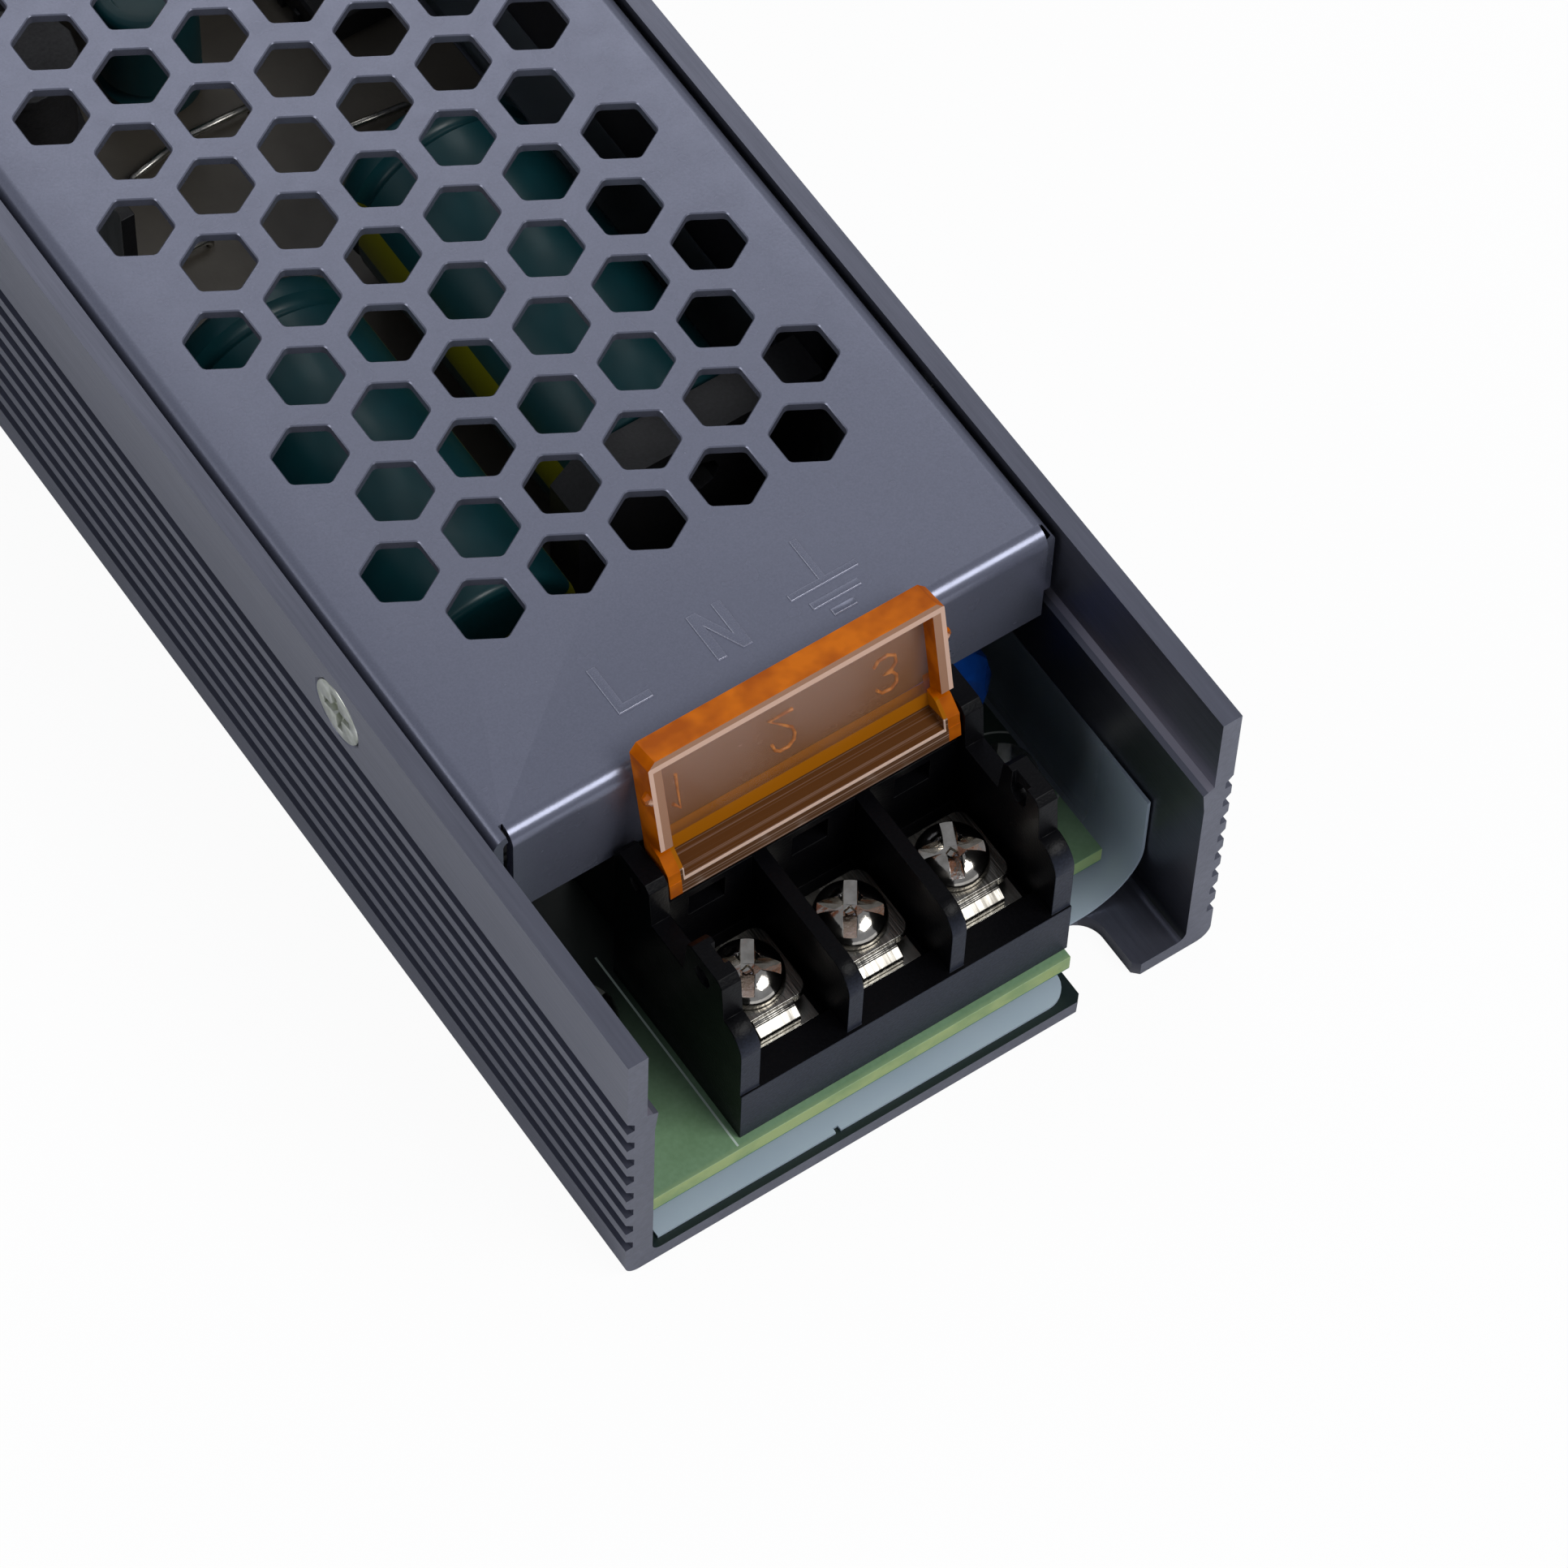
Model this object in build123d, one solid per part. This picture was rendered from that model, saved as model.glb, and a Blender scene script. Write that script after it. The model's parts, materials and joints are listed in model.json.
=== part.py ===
from build123d import *
import math
import os

os.makedirs("parts", exist_ok=True)

# The frame: X across the channel, Y along it, Z up. The origin is on the underside, at mid length.
# The mains input end looks along -Y. All sizes are in millimetres.

# Chassis: an extruded channel, open at the top and at both ends
length = 188.0
width = 50.0
height = 29.5
base_thickness = 1.4
upper_wall = 1.6
lower_wall = 2.25
ledge_drop = 8.0
ledge_reach = 0.9
ledge_slope = 0.4
ledge_taper = 2.2
groove_lowest = 3.4
groove_pitch = 2.4
groove_mouth = 1.35
groove_depth = 0.6
groove_drop = 7.7
base_corner = 1.2
inner_corner = 0.8
slot_width = 4.6
slot_reach = 6.2
slot_from_side = 8.9
slot_lip = 0.5

# Top cover: a folded steel sheet with hexagonal vents
sheet_steel = 0.8
cover_gap = 0.3
cover_inset = 19.0
bend_radius = 1.3
end_flange = 9.8
side_flange = 7.3
relief_slot = 0.6
relief_from_side = 0.8
relief_depth = 1.5
hole_pitch = 6.65
hole_flats = 4.9
holes_in_short_row = 5
vent_margin = 16.37

# Cover screws, countersunk through the side walls
cover_screw_inset = 36.1
cover_screw_drop = 4.2
cover_screw_length = 5.0
countersunk_head = 5.5

# Flat sides of small round parts, which keep the mesh light
few_sides = 8
head_sides = 10
disc_sides = 14
can_sides = 20

# Metric 3 screws, used all over
screw_size = 2.9
tapped_hole = 3.0
clearance_hole = 3.4
pan_head = 5.4
pan_height = 2.0
pan_side = 0.9
pan_crown = 0.62
recess_width = 0.9
recess_depth = 0.9
cross_arm = 3.6
countersunk_play = 0.05
shank_gap = 0.2

# Circuit board, its posts, screws and the film under it
board_thickness = 1.6
board_top = 5.0
board_front = 1.7
board_gap = 0.75
board_flap_gap = 2.05
notch_margin = 0.1
notch_depth = 6.0
board_hole_inset = 16.2
board_hole_from_side = 4.0
post_size = 5.5
film = 0.3
film_front = 1.1
film_edge_gap = 0.85
film_corner = 2.0
film_gap = 0.4
flap_top = 12.85
flap_radius = 5.0
flap_front = 5.4

# Terminal blocks: the sizes along the channel are counted from its end
pole_pitch = 8.6
barrier_wall = 1.2
end_wall = 1.6
block_front = 2.45
block_rear = 18.4
front_bar_depth = 2.5
front_bar_top = 10.75
cell_floor = 9.4
rear_wall = 3.6
rear_wall_top = 17.6
barrier_top = 17.6
barrier_corner = 2.2
shoulder_top = 17.9
ear_front = 5.3
ear_rear = 9.5
ear_top = 22.0
ear_hole = 1.8
ear_hole_y = 7.6
ear_hole_z = 20.0
ear_corner = 0.5
ear_ramp = 0.4
wall_setback = 0.2
barrier_setback = 0.3
screw_pit = 0.6
snap_groove = 0.35
snap_groove_width = 1.7
cheek_front = 14.2
window_width = 3.0
window_height = 2.4
window_bottom = 14.4
screw_y = 9.7
input_poles = 3
output_poles = 2
output_shift = 5.0

# Contact plates, clamp plates and terminal screws
contact_thickness = 0.8
contact_width = 6.2
contact_front = 5.2
contact_rear = 13.6
contact_leg = 3.1
contact_slot_play = 0.1
clamp_side = 6.3
clamp_thickness = 0.8
clamp_height = 0.9
clamp_tongue = 3.45
tongue_reach = 1.1
tongue_root = 0.3
tongue_gap = 0.05
clamp_travel = 2.4
terminal_screw_length = 6.0

# Hinged terminal covers: reach is counted from the hinge towards the front when shut
hinge_y = 15.8
hinge_z = 20.5
hinge_pin = 1.2
hinge_play = 0.05
lid_clearance = 0.2
lid_reach = 12.0
lid_back = 1.3
lid_plate = 0.9
lid_rim = 1.0
lid_depth = 2.35
lid_corner = 0.6
lid_side_start = 3.1
lid_lean = 12.0
lid_knuckle = ((-1.5, -1.4), (-0.1, -1.5))
lid_foot = ((-1.5, -1.4), (0.9, -1.5), (2.2, -0.6))
lid_foot_width = 1.3
lid_bar_from = 0.2
lid_bar_to = 0.8
lid_side_step = 0.4
lid_foot_gap = 0.5
pin_root = 0.3
pin_in_wall = 0.7
bump_size = 1.2
bump_height = 0.45

# Parts on the board. A place is (X, distance from the mains end); the can parts give diameter and length
lead = 0.7
seat_gap = 0.1
root = 0.2
block_edge = 0.6
can_lip = 0.1
fuse_place = (-17.5, 30.6)
fuse_size = (4.6, 8.4, 7.7)
varistor_place = (14.6, 21.8)
varistor_size = (11.0, 4.0)
thermistor_place = (-16.6, 37.5)
thermistor_size = (9.0, 4.0)
filter_capacitor_place = (-4.6, 24.2)
filter_capacitor_size = (15.0, 7.0, 13.0)
filter_choke_place = (9.6, 35.0)
filter_core_size = (18.0, 5.0, 14.0)
filter_core_leg = 4.0
filter_coil_half = 2.0
filter_foot = 1.2
filter_plate = 0.8
filter_coil_inset = 0.3
filter_coil_corner = 1.0
bridge_place = (10.2, 45.6)
bridge_size = (20.8, 3.8, 13.0)
bridge_bottom = 8.0
bridge_hole = 3.2
bridge_hole_share = 0.62
bridge_corner = 2.4
bridge_pitch = 5.07
bulk_can = (16.0, 31.5)
bulk_left_place = (-10.0, 40.7)
bulk_right_place = (9.6, 47.9)
bulk_lead_pitch = 7.5
bulk_groove = (0.7, 2.6)
jumper_wire = 0.6
jumper_rise = 0.5
jumpers = ((-7.0, -2.2, 95.0), (-1.2, 4.6, 96.0), (8.0, 14.6, 90.0), (-11.0, -4.5, 87.0))
spreader_place = 82.0
spreader_width = 8.2
spreader_length = 16.0
spreader_leg_drop = 10.7
spreader_drop = 5.5
spreader_thickness = 1.4
spreader_corner = 2.5
package_size = (8.6, 4.4, 8.4)
package_bottom = 5.9
package_tab = 4.6
package_tab_thickness = 1.3
package_hole = 2.6
package_pitch = 2.5
package_edge = 0.4
start_can = (8.0, 11.8)
start_can_place = (-0.5, 102.3)
drum_size = (9.0, 10.0)
drum_flange = 1.0
drum_waist = 0.88
drum_place = (-11.0, 103.0)
chip_place = (15.0, 102.0)
chip_size = (6.4, 9.2, 3.3)
chip_stand = 0.5
chip_edge = 0.3
chip_leg = 0.3
chip_pitch = 2.4
coupler_place = (17.0, 111.0)
coupler_size = (6.4, 4.6, 3.4)
transformer_place = (-1.0, 121.0)
core_length = 28.0
core_width = 22.0
core_thickness = 8.0
core_bottom = 9.0
core_back = 4.0
core_side = 3.0
core_centre = 7.0
bobbin_flange = 0.8
bobbin_gap = 0.2
coil_rise = 3.4
coil_corner = 1.6
coil_inset = 0.5
bobbin_foot = 0.6
safety_places = ((17.2, 118.0), (17.2, 127.0))
safety_size = (8.0, 3.4)
rectifier_places = (137.0, 148.0)
strap_thickness = 0.8
strap_share = 0.4
output_choke_place = (3.0, 142.9)
output_ring = (18.0, 9.0, 7.0)
output_turns = 10
output_wire = 1.2
output_turn_from = 30.0
output_turn_span = 300.0
output_can = (10.0, 18.0)
output_can_places = ((-7.5, 159.4), (4.0, 159.4), (15.5, 159.4))

# Lamp and voltage trimmer, counted from the output end
lamp_place = (-9.5, 13.6)
lamp_size = (3.0, 5.2)
lamp_collar = 0.4
lamp_collar_height = 1.0
trimmer_place = (-9.5, 6.6)
trimmer_side = 6.6
trimmer_height = 4.4
rotor_size = 4.0
rotor_rise = 0.5
rotor_depth = 1.5
rotor_play = 0.05
rotor_arm = 0.78
trimmer_corner = 0.5

half_length = length / 2
half_width = width / 2
wall_inner = half_width - lower_wall
ledge_top = height - ledge_drop
groove_top = height - groove_drop
groove_count = int((groove_top - groove_mouth - groove_lowest) / groove_pitch) + 1
slot_offset = half_width - slot_from_side
cover_screw_height = height - cover_screw_drop
board_side = wall_inner - board_gap
board_flap_side = wall_inner - board_flap_gap
board_hole_side = board_side - board_hole_from_side
notch_from = slot_offset - slot_width / 2 - notch_margin
film_side = wall_inner - film_edge_gap
spreader_leg_top = height - spreader_leg_drop
spreader_top = height - spreader_drop
board_bottom = board_top - board_thickness
cover_half = half_width - upper_wall - cover_gap
cover_length = length - 2 * cover_inset
row_pitch = hole_pitch * math.sin(math.radians(60))
clamp_bottom = cell_floor + contact_thickness + clamp_height
head_seat = clamp_bottom + clamp_thickness
open_turn = 90.0 + lid_lean
overcut = 1.0


def box(x0, x1, y0, y1, z0, z1):
    size = Box(x1 - x0, y1 - y0, z1 - z0)
    return Pos((x0 + x1) / 2, (y0 + y1) / 2, (z0 + z1) / 2) * size


def bar(reach, diameter, sides):
    """A round bar about Z, or one with flat sides whose corners lie on the diameter."""
    if sides == 0:
        return Cylinder(diameter / 2, reach)
    return extrude(RegularPolygon(diameter / 2, sides), reach / 2, both=True)


def upright(x, y, z0, z1, diameter, sides=0):
    return Pos(x, y, (z0 + z1) / 2) * bar(z1 - z0, diameter, sides)


def crosswise(y, z, x0, x1, diameter, sides=0):
    return Pos((x0 + x1) / 2, y, z) * Rot(0, 90, 0) * bar(x1 - x0, diameter, sides)


def lengthwise(x, z, y0, y1, diameter, sides=0):
    return Pos(x, (y0 + y1) / 2, z) * Rot(90, 0, 0) * bar(y1 - y0, diameter, sides)


def roomy(diameter, sides=few_sides):
    """The corner diameter of a flat-sided hole that still takes a round bar."""
    return diameter / math.cos(math.pi / sides)


def swept_across(outline, x0, x1):
    face = make_face(Polyline(*[(x0, y, z) for y, z in outline], close=True))
    return extrude(face, amount=x1 - x0, dir=(1, 0, 0))


def swept_along(outline, y0, y1):
    face = make_face(Polyline(*[(x, y0, z) for x, z in outline], close=True))
    return extrude(face, amount=y1 - y0, dir=(0, 1, 0))


def swept_up(outline, z0, z1):
    face = make_face(Polyline(*[(x, y, z0) for x, y in outline], close=True))
    return extrude(face, amount=z1 - z0, dir=(0, 0, 1))


def rounded(solid, axis, radius, keep):
    """Round the edges along an axis whose centre passes the test."""
    chosen = [edge for edge in solid.edges().filter_by(axis) if keep(edge.center())]
    return fillet(chosen, radius)


def turned(outline, sides):
    """A turned part in flat facets, from its outline of (radius, height), base first."""
    rings = []
    for radius, z in outline:
        angles = [2 * math.pi * step / sides for step in range(sides)]
        rings.append([(radius * math.cos(a), radius * math.sin(a), z) for a in angles])
    faces = [make_face(Polyline(*ring, close=True)) for ring in (rings[0], rings[-1])]
    for low, high in zip(rings, rings[1:]):
        for step in range(sides):
            after = (step + 1) % sides
            faces.append(make_face(Polyline(low[step], low[after], high[after], high[step], close=True)))
    return Solid(Shell(faces))


def save(name, shape):
    solids = shape.solids()
    whole = solids[0] if len(solids) == 1 else Compound(children=list(solids))
    export_step(whole, "parts/" + name + ".step")


def at_input(shape, shift=0.0):
    return Pos(shift, -half_length, 0) * shape


def at_output(shape, shift=0.0):
    return Pos(shift, half_length, 0) * Rot(0, 0, 180) * shape


def from_front(distance):
    return distance - half_length


def four_corners(side, inset):
    return [(sx * side, sy * (half_length - inset)) for sx in (-1, 1) for sy in (-1, 1)]


# Chassis

def wall_outline():
    points = [(half_width, 0.0)]
    for index in reversed(range(groove_count)):
        top = groove_top - index * groove_pitch
        bottom = top - groove_mouth
        root = half_width - groove_depth
        points += [(half_width, bottom), (root, bottom), (root, top - groove_depth), (half_width, top)]
    upper_inner = half_width - upper_wall
    points += [(half_width, height), (upper_inner, height), (upper_inner, ledge_top)]
    points += [(upper_inner - ledge_reach, ledge_top - ledge_slope)]
    points += [(wall_inner, ledge_top - ledge_slope - ledge_taper), (wall_inner, base_thickness)]
    return points


def fixing_slot():
    round_y = slot_reach - slot_width / 2
    slot = box(-slot_width / 2, slot_width / 2, -overcut, round_y, -overcut, base_thickness + overcut)
    slot += upright(0, round_y, -overcut, base_thickness + overcut, slot_width)
    return Pos(slot_offset, 0, 0) * slot


def make_chassis():
    right = wall_outline()
    outline = right + [(-x, z) for x, z in reversed(right)]
    body = swept_along(outline, -half_length, half_length)
    body = rounded(body, Axis.Y, base_corner, lambda p: abs(abs(p.X) - half_width) < 0.01 and p.Z < 0.01)
    body = rounded(body, Axis.Y, inner_corner,
                   lambda p: abs(abs(p.X) - wall_inner) < 0.01 and abs(p.Z - base_thickness) < 0.01)
    body -= at_input(fixing_slot())
    body -= at_output(fixing_slot())
    mouth = [e for e in body.edges().filter_by(Axis.Z) if abs(abs(e.center().Y) - half_length) < 0.01
             and abs(abs(abs(e.center().X) - slot_offset) - slot_width / 2) < 0.01]
    body = chamfer(mouth, slot_lip)
    for side in (-1, 1):
        for y in (-1, 1):
            spot_y = y * (half_length - cover_screw_inset)
            depth = countersunk_depth()
            cone = turned([(screw_size / 2 + 0.1, 0), (roomy(countersunk_head, head_sides) / 2, depth)],
                          head_sides)
            body -= Pos(side * (half_width - depth), spot_y, cover_screw_height) * Rot(0, 90 * side, 0) * cone
            near, far = sorted((side * (half_width - 2), side * half_width))
            body -= crosswise(spot_y, cover_screw_height, near, far, roomy(tapped_hole), few_sides)
    return body


def countersunk_depth():
    return (countersunk_head - screw_size) / 2


# Top cover

def vent_centres():
    """Rows of five and six holes in turn, as many as the cover is long enough for."""
    usable = cover_length - 2 * vent_margin
    rows = int(usable / row_pitch + 1e-6) + 1
    centres = []
    for row in range(rows):
        count = holes_in_short_row + row % 2
        y = from_front(cover_inset + vent_margin + row * row_pitch)
        for index in range(count):
            centres.append(((index - (count - 1) / 2) * hole_pitch, y))
    return centres


def vent_cutters():
    corner = hole_flats / 2 / math.cos(math.radians(30))
    angles = [math.radians(30 + 60 * step) for step in range(6)]
    cutters = []
    for x, y in vent_centres():
        outline = [(x + corner * math.cos(a), y + corner * math.sin(a)) for a in angles]
        cutters.append(swept_up(outline, height - sheet_steel - overcut, height + overcut))
    return cutters


def folded_sheet(half_x, half_y, flange, along):
    """A sheet folded down at two opposite edges, whose bends run along an axis."""
    top = height
    sheet = box(-half_x, half_x, -half_y, half_y, top - flange, top)
    inner_x = half_x - sheet_steel if along == Axis.Y else half_x + overcut
    inner_y = half_y - sheet_steel if along == Axis.X else half_y + overcut
    sheet -= box(-inner_x, inner_x, -inner_y, inner_y, top - flange - overcut, top - sheet_steel)
    sheet = rounded(sheet, along, bend_radius, lambda p: p.Z > top - 0.01)
    return rounded(sheet, along, bend_radius - sheet_steel, lambda p: abs(p.Z - top + sheet_steel) < 0.01)


def make_top_cover():
    end = cover_length / 2
    flange_half = cover_half - relief_from_side - relief_slot
    cut_half = flange_half + relief_slot
    cover = folded_sheet(cover_half, end, side_flange, Axis.Y)
    for near, far in ((-end - overcut, relief_depth - end), (end - relief_depth, end + overcut)):
        cover -= box(-cut_half, cut_half, near, far, height - end_flange, height + overcut)
    cover += folded_sheet(flange_half, end, end_flange, Axis.X)
    for side in (-1, 1):
        for y in (-1, 1):
            spot_y = y * (half_length - cover_screw_inset)
            near, far = sorted((side * (cover_half - 2), side * (cover_half + overcut)))
            cover -= crosswise(spot_y, cover_screw_height, near, far, roomy(tapped_hole), few_sides)
    return cover - vent_cutters()


# Screws

def cross_recess(top):
    cutter = box(-cross_arm / 2, cross_arm / 2, -recess_width / 2, recess_width / 2, top - recess_depth,
                 top + overcut)
    return cutter + Rot(0, 0, 90) * cutter


def pan_screw(shank_length):
    """A pan head screw whose head sits on Z = 0, with its shank down."""
    radius = pan_head / 2
    head = turned([(radius, 0), (radius, pan_side), (radius * pan_crown, pan_height)], head_sides)
    shank = upright(0, 0, -shank_length, overcut, screw_size, few_sides)
    return head + shank - cross_recess(pan_height)


def countersunk_screw():
    """A flat head screw whose head is flush with X = 0, with its shank along +X."""
    depth = countersunk_depth()
    head = turned([(screw_size / 2, -depth), (countersunk_head / 2 - countersunk_play, 0)], head_sides)
    body = head + upright(0, 0, -cover_screw_length, -depth + overcut / 2, screw_size, few_sides)
    return Rot(0, -90, 0) * (body - cross_recess(0))


def make_cover_screws():
    screws = []
    for x, y in four_corners(half_width, cover_screw_inset):
        turn = 0 if x < 0 else 180
        screws.append(Pos(x, y, cover_screw_height) * Rot(0, 0, turn) * countersunk_screw())
    return screws


# Circuit board and what holds it

def make_board():
    back = half_length - board_front
    step = back - notch_depth
    outline = [(-board_side, -back), (notch_from, -back), (notch_from, -step), (board_flap_side, -step),
               (board_flap_side, back), (-notch_from, back), (-notch_from, step), (-board_side, step)]
    board = swept_up(outline, board_bottom, board_top)
    for x, y in four_corners(board_hole_side, board_hole_inset):
        board -= upright(x, y, board_bottom - overcut, board_top + overcut, roomy(clearance_hole), few_sides)
    return board


def make_film():
    top = base_thickness + film
    back = half_length - film_front
    step = half_length - flap_front
    centre_x = wall_inner - film_gap - flap_radius
    sheet = box(-film_side, centre_x, -step, step, base_thickness, top)
    sheet += box(-film_side, notch_from - film_gap, -back, -step, base_thickness, top)
    sheet += box(-notch_from + film_gap, centre_x, step, back, base_thickness, top)
    sheet = rounded(sheet, Axis.Z, film_corner,
                    lambda p: abs(p.Y) > step + 0.1 and abs(abs(p.X) - notch_from + film_gap) < 0.01)
    centre_z = base_thickness + flap_radius
    bend = lengthwise(centre_x, centre_z, -step, step, 2 * flap_radius)
    bend -= lengthwise(centre_x, centre_z, -step - overcut, step + overcut, 2 * (flap_radius - film))
    quarter = box(centre_x, centre_x + flap_radius, -step, step, base_thickness, centre_z)
    sheet += bend & quarter
    wall = centre_x + flap_radius
    sheet += box(wall - film, wall, -step, step, centre_z, flap_top)
    for x, y in four_corners(board_hole_side, board_hole_inset):
        sheet -= upright(x, y, 0, board_bottom, roomy(post_size + film), few_sides)
    return sheet


def make_posts():
    posts = []
    for x, y in four_corners(board_hole_side, board_hole_inset):
        post = upright(x, y, base_thickness, board_bottom, post_size, few_sides)
        posts.append(post - upright(x, y, 0, board_top, roomy(tapped_hole), few_sides))
    return posts


def make_board_screws():
    shank = board_top - base_thickness - shank_gap
    screw = pan_screw(shank)
    return [Pos(x, y, board_top) * screw for x, y in four_corners(board_hole_side, board_hole_inset)]


# Terminal blocks, in a frame whose Y is counted from the channel's end

def pole_places(poles):
    return [(index - (poles - 1) / 2) * pole_pitch for index in range(poles)]


def cell_half(poles):
    """Half the width between the inner faces of a block's end walls."""
    return (poles * pole_pitch - barrier_wall) / 2


def end_wall_solid(x0, x1):
    front = block_front + wall_setback
    outline = [(block_front, board_top), (block_front, front_bar_top), (front, front_bar_top),
               (front, shoulder_top), (ear_front - ear_ramp, shoulder_top), (ear_front, ear_top),
               (ear_rear, ear_top), (ear_rear + ear_ramp, shoulder_top),
               (cheek_front - ear_ramp, shoulder_top),
               (cheek_front, ear_top), (block_rear, ear_top), (block_rear, board_top)]
    wall = swept_across(outline, x0, x1)
    wall = rounded(wall, Axis.X, barrier_corner,
                   lambda p: p.Y < front + 0.1 and abs(p.Z - shoulder_top) < 0.01)
    wall = chamfer([e for e in wall.edges().filter_by(Axis.X) if abs(e.center().Z - ear_top) < 0.01],
                   ear_corner)
    wall -= crosswise(ear_hole_y, ear_hole_z, x0 - overcut, x1 + overcut, ear_hole, few_sides)
    bore = roomy(hinge_pin + 2 * hinge_play)
    wall -= crosswise(hinge_y, hinge_z, x0 - overcut, x1 + overcut, bore, few_sides)
    return wall


def barrier_solid(x):
    front = block_front + barrier_setback
    outline = [(front, cell_floor), (front, barrier_top), (block_rear - rear_wall, barrier_top),
               (block_rear - rear_wall, cell_floor)]
    wall = swept_across(outline, x - barrier_wall / 2, x + barrier_wall / 2)
    return rounded(wall, Axis.X, barrier_corner,
                   lambda p: p.Y < front + 0.1 and abs(p.Z - barrier_top) < 0.01)


def make_block(poles):
    half = cell_half(poles)
    wall_y = block_rear - rear_wall
    bar_rear = block_front + front_bar_depth
    block = box(-half, half, block_front, bar_rear, board_top, front_bar_top)
    block += box(-half, half, bar_rear, wall_y, board_top, cell_floor)
    block += box(-half, half, wall_y, block_rear, board_top, rear_wall_top)
    for side in (-1, 1):
        block += end_wall_solid(*sorted((side * half, side * (half + end_wall))))
        groove = box(half - overcut, half + snap_groove, ear_hole_y - snap_groove_width / 2,
                     ear_hole_y + snap_groove_width / 2, ear_hole_z, ear_top + overcut)
        block -= groove if side > 0 else Rot(0, 0, 180) * Pos(0, -2 * ear_hole_y, 0) * groove
    for index in range(poles - 1):
        block += barrier_solid((index + 1 - poles / 2) * pole_pitch)
    for x in pole_places(poles):
        block -= box(x - window_width / 2, x + window_width / 2, wall_y - overcut, block_rear + overcut,
                     window_bottom, window_bottom + window_height)
        block -= upright(x, screw_y, board_top + screw_pit, cell_floor + overcut, roomy(clearance_hole),
                         few_sides)
        block -= contact_slot(x)
    return block


def contact_slot(x):
    play = contact_slot_play
    half = contact_leg / 2 + play
    return box(x - half, x + half, contact_rear - contact_thickness - play, contact_rear + play,
               board_top - overcut, cell_floor + overcut)


def contact_plate():
    plate = box(-contact_width / 2, contact_width / 2, contact_front, contact_rear,
                cell_floor, cell_floor + contact_thickness)
    leg = contact_leg / 2
    plate += box(-leg, leg, contact_rear - contact_thickness, contact_rear, board_top, cell_floor + root)
    top = cell_floor + contact_thickness
    return plate - upright(0, screw_y, cell_floor - overcut, top + overcut, roomy(tapped_hole), few_sides)


def clamp_plate():
    """A square washer with a tongue bent down in front, over the wire."""
    half = clamp_side / 2
    front = screw_y - half
    plate = box(-half, half, front, screw_y + half, clamp_bottom, clamp_bottom + clamp_thickness)
    tip = cell_floor + contact_thickness + tongue_gap
    reach = front - tongue_reach
    outline = [(front + tongue_root, clamp_bottom), (front + tongue_root, head_seat), (front, head_seat),
               (reach, clamp_bottom + root), (reach, tip), (reach + clamp_thickness, tip),
               (front, clamp_bottom)]
    plate += swept_across(outline, -clamp_tongue / 2, clamp_tongue / 2)
    return plate - upright(0, screw_y, clamp_bottom - overcut, head_seat + overcut, roomy(clearance_hole),
                           few_sides)


def terminal_screw(turn):
    return Pos(0, screw_y, head_seat) * Rot(0, 0, turn) * pan_screw(terminal_screw_length)


# Hinged terminal cover, first shut, then swung open about its pins

def lid_section(outline, x0, x1):
    """Extrude an outline of (reach towards the front, height over the hinge)."""
    return swept_across([(hinge_y - reach, hinge_z + rise) for reach, rise in outline], x0, x1)


def make_lid(poles, turn):
    half = cell_half(poles) - lid_clearance
    inner = lid_back - lid_plate
    low = lid_back - lid_depth
    side_from = lid_side_start - lid_side_step
    foot_to = lid_side_start - lid_foot_gap
    plate = [(lid_bar_from, lid_back), (lid_reach, lid_back), (lid_reach, low), (lid_reach - lid_rim, low),
             (lid_reach - lid_rim, inner), (lid_bar_to, inner)]
    hinge_bar = [(lid_bar_from, lid_back), *lid_knuckle, (lid_bar_to, inner), (lid_bar_to + root, lid_back)]
    hinge_end = [(lid_bar_from, lid_back), *lid_foot, (foot_to, inner), (foot_to, lid_back)]
    lid = lid_section(plate, -half, half) + lid_section(hinge_bar, -half, half)
    side_wall = [(lid_side_start, low), (side_from, inner + root), (lid_reach, inner + root),
                 (lid_reach, low)]
    for side in (-1, 1):
        near, far = sorted((side * (half - lid_rim), side * half))
        lid += lid_section(side_wall, near, far)
        near, far = sorted((side * (half - lid_foot_width), side * half))
        lid += lid_section(hinge_end, near, far)
    lid = chamfer([e for e in lid.edges().filter_by(Axis.Z) if e.center().Y < hinge_y - lid_reach + 0.01],
                  lid_corner)
    for side in (-1, 1):
        near, far = sorted((side * (half - pin_root), side * (half + lid_clearance + end_wall * pin_in_wall)))
        lid += crosswise(hinge_y, hinge_z, near, far, hinge_pin, few_sides)
        bump = turned([(bump_size / 2, 0), (bump_size / 4, bump_height)], few_sides)
        lid += Pos(side * half, ear_hole_y, ear_hole_z) * Rot(0, 90 * side, 0) * bump
    return Pos(0, hinge_y, hinge_z) * Rot(turn, 0, 0) * Pos(0, -hinge_y, -hinge_z) * lid


# Parts on the board

def on_board(place, shape):
    x, distance = place
    return Pos(x, from_front(distance), board_top) * shape


def lead_pair(pitch, rise):
    leads = [box(x - lead / 2, x + lead / 2, -lead / 2, lead / 2, 0, rise) for x in (-pitch / 2, pitch / 2)]
    return leads[0] + leads[1]


def block_part(size):
    """A moulded box that stands on the board."""
    wide, deep, tall = size
    part = box(-wide / 2, wide / 2, -deep / 2, deep / 2, 0, tall)
    part = chamfer(part.edges().filter_by(Axis.Z), block_edge)
    return chamfer(part.faces().sort_by(Axis.Z)[-1].edges(), block_edge / 2)


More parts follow.
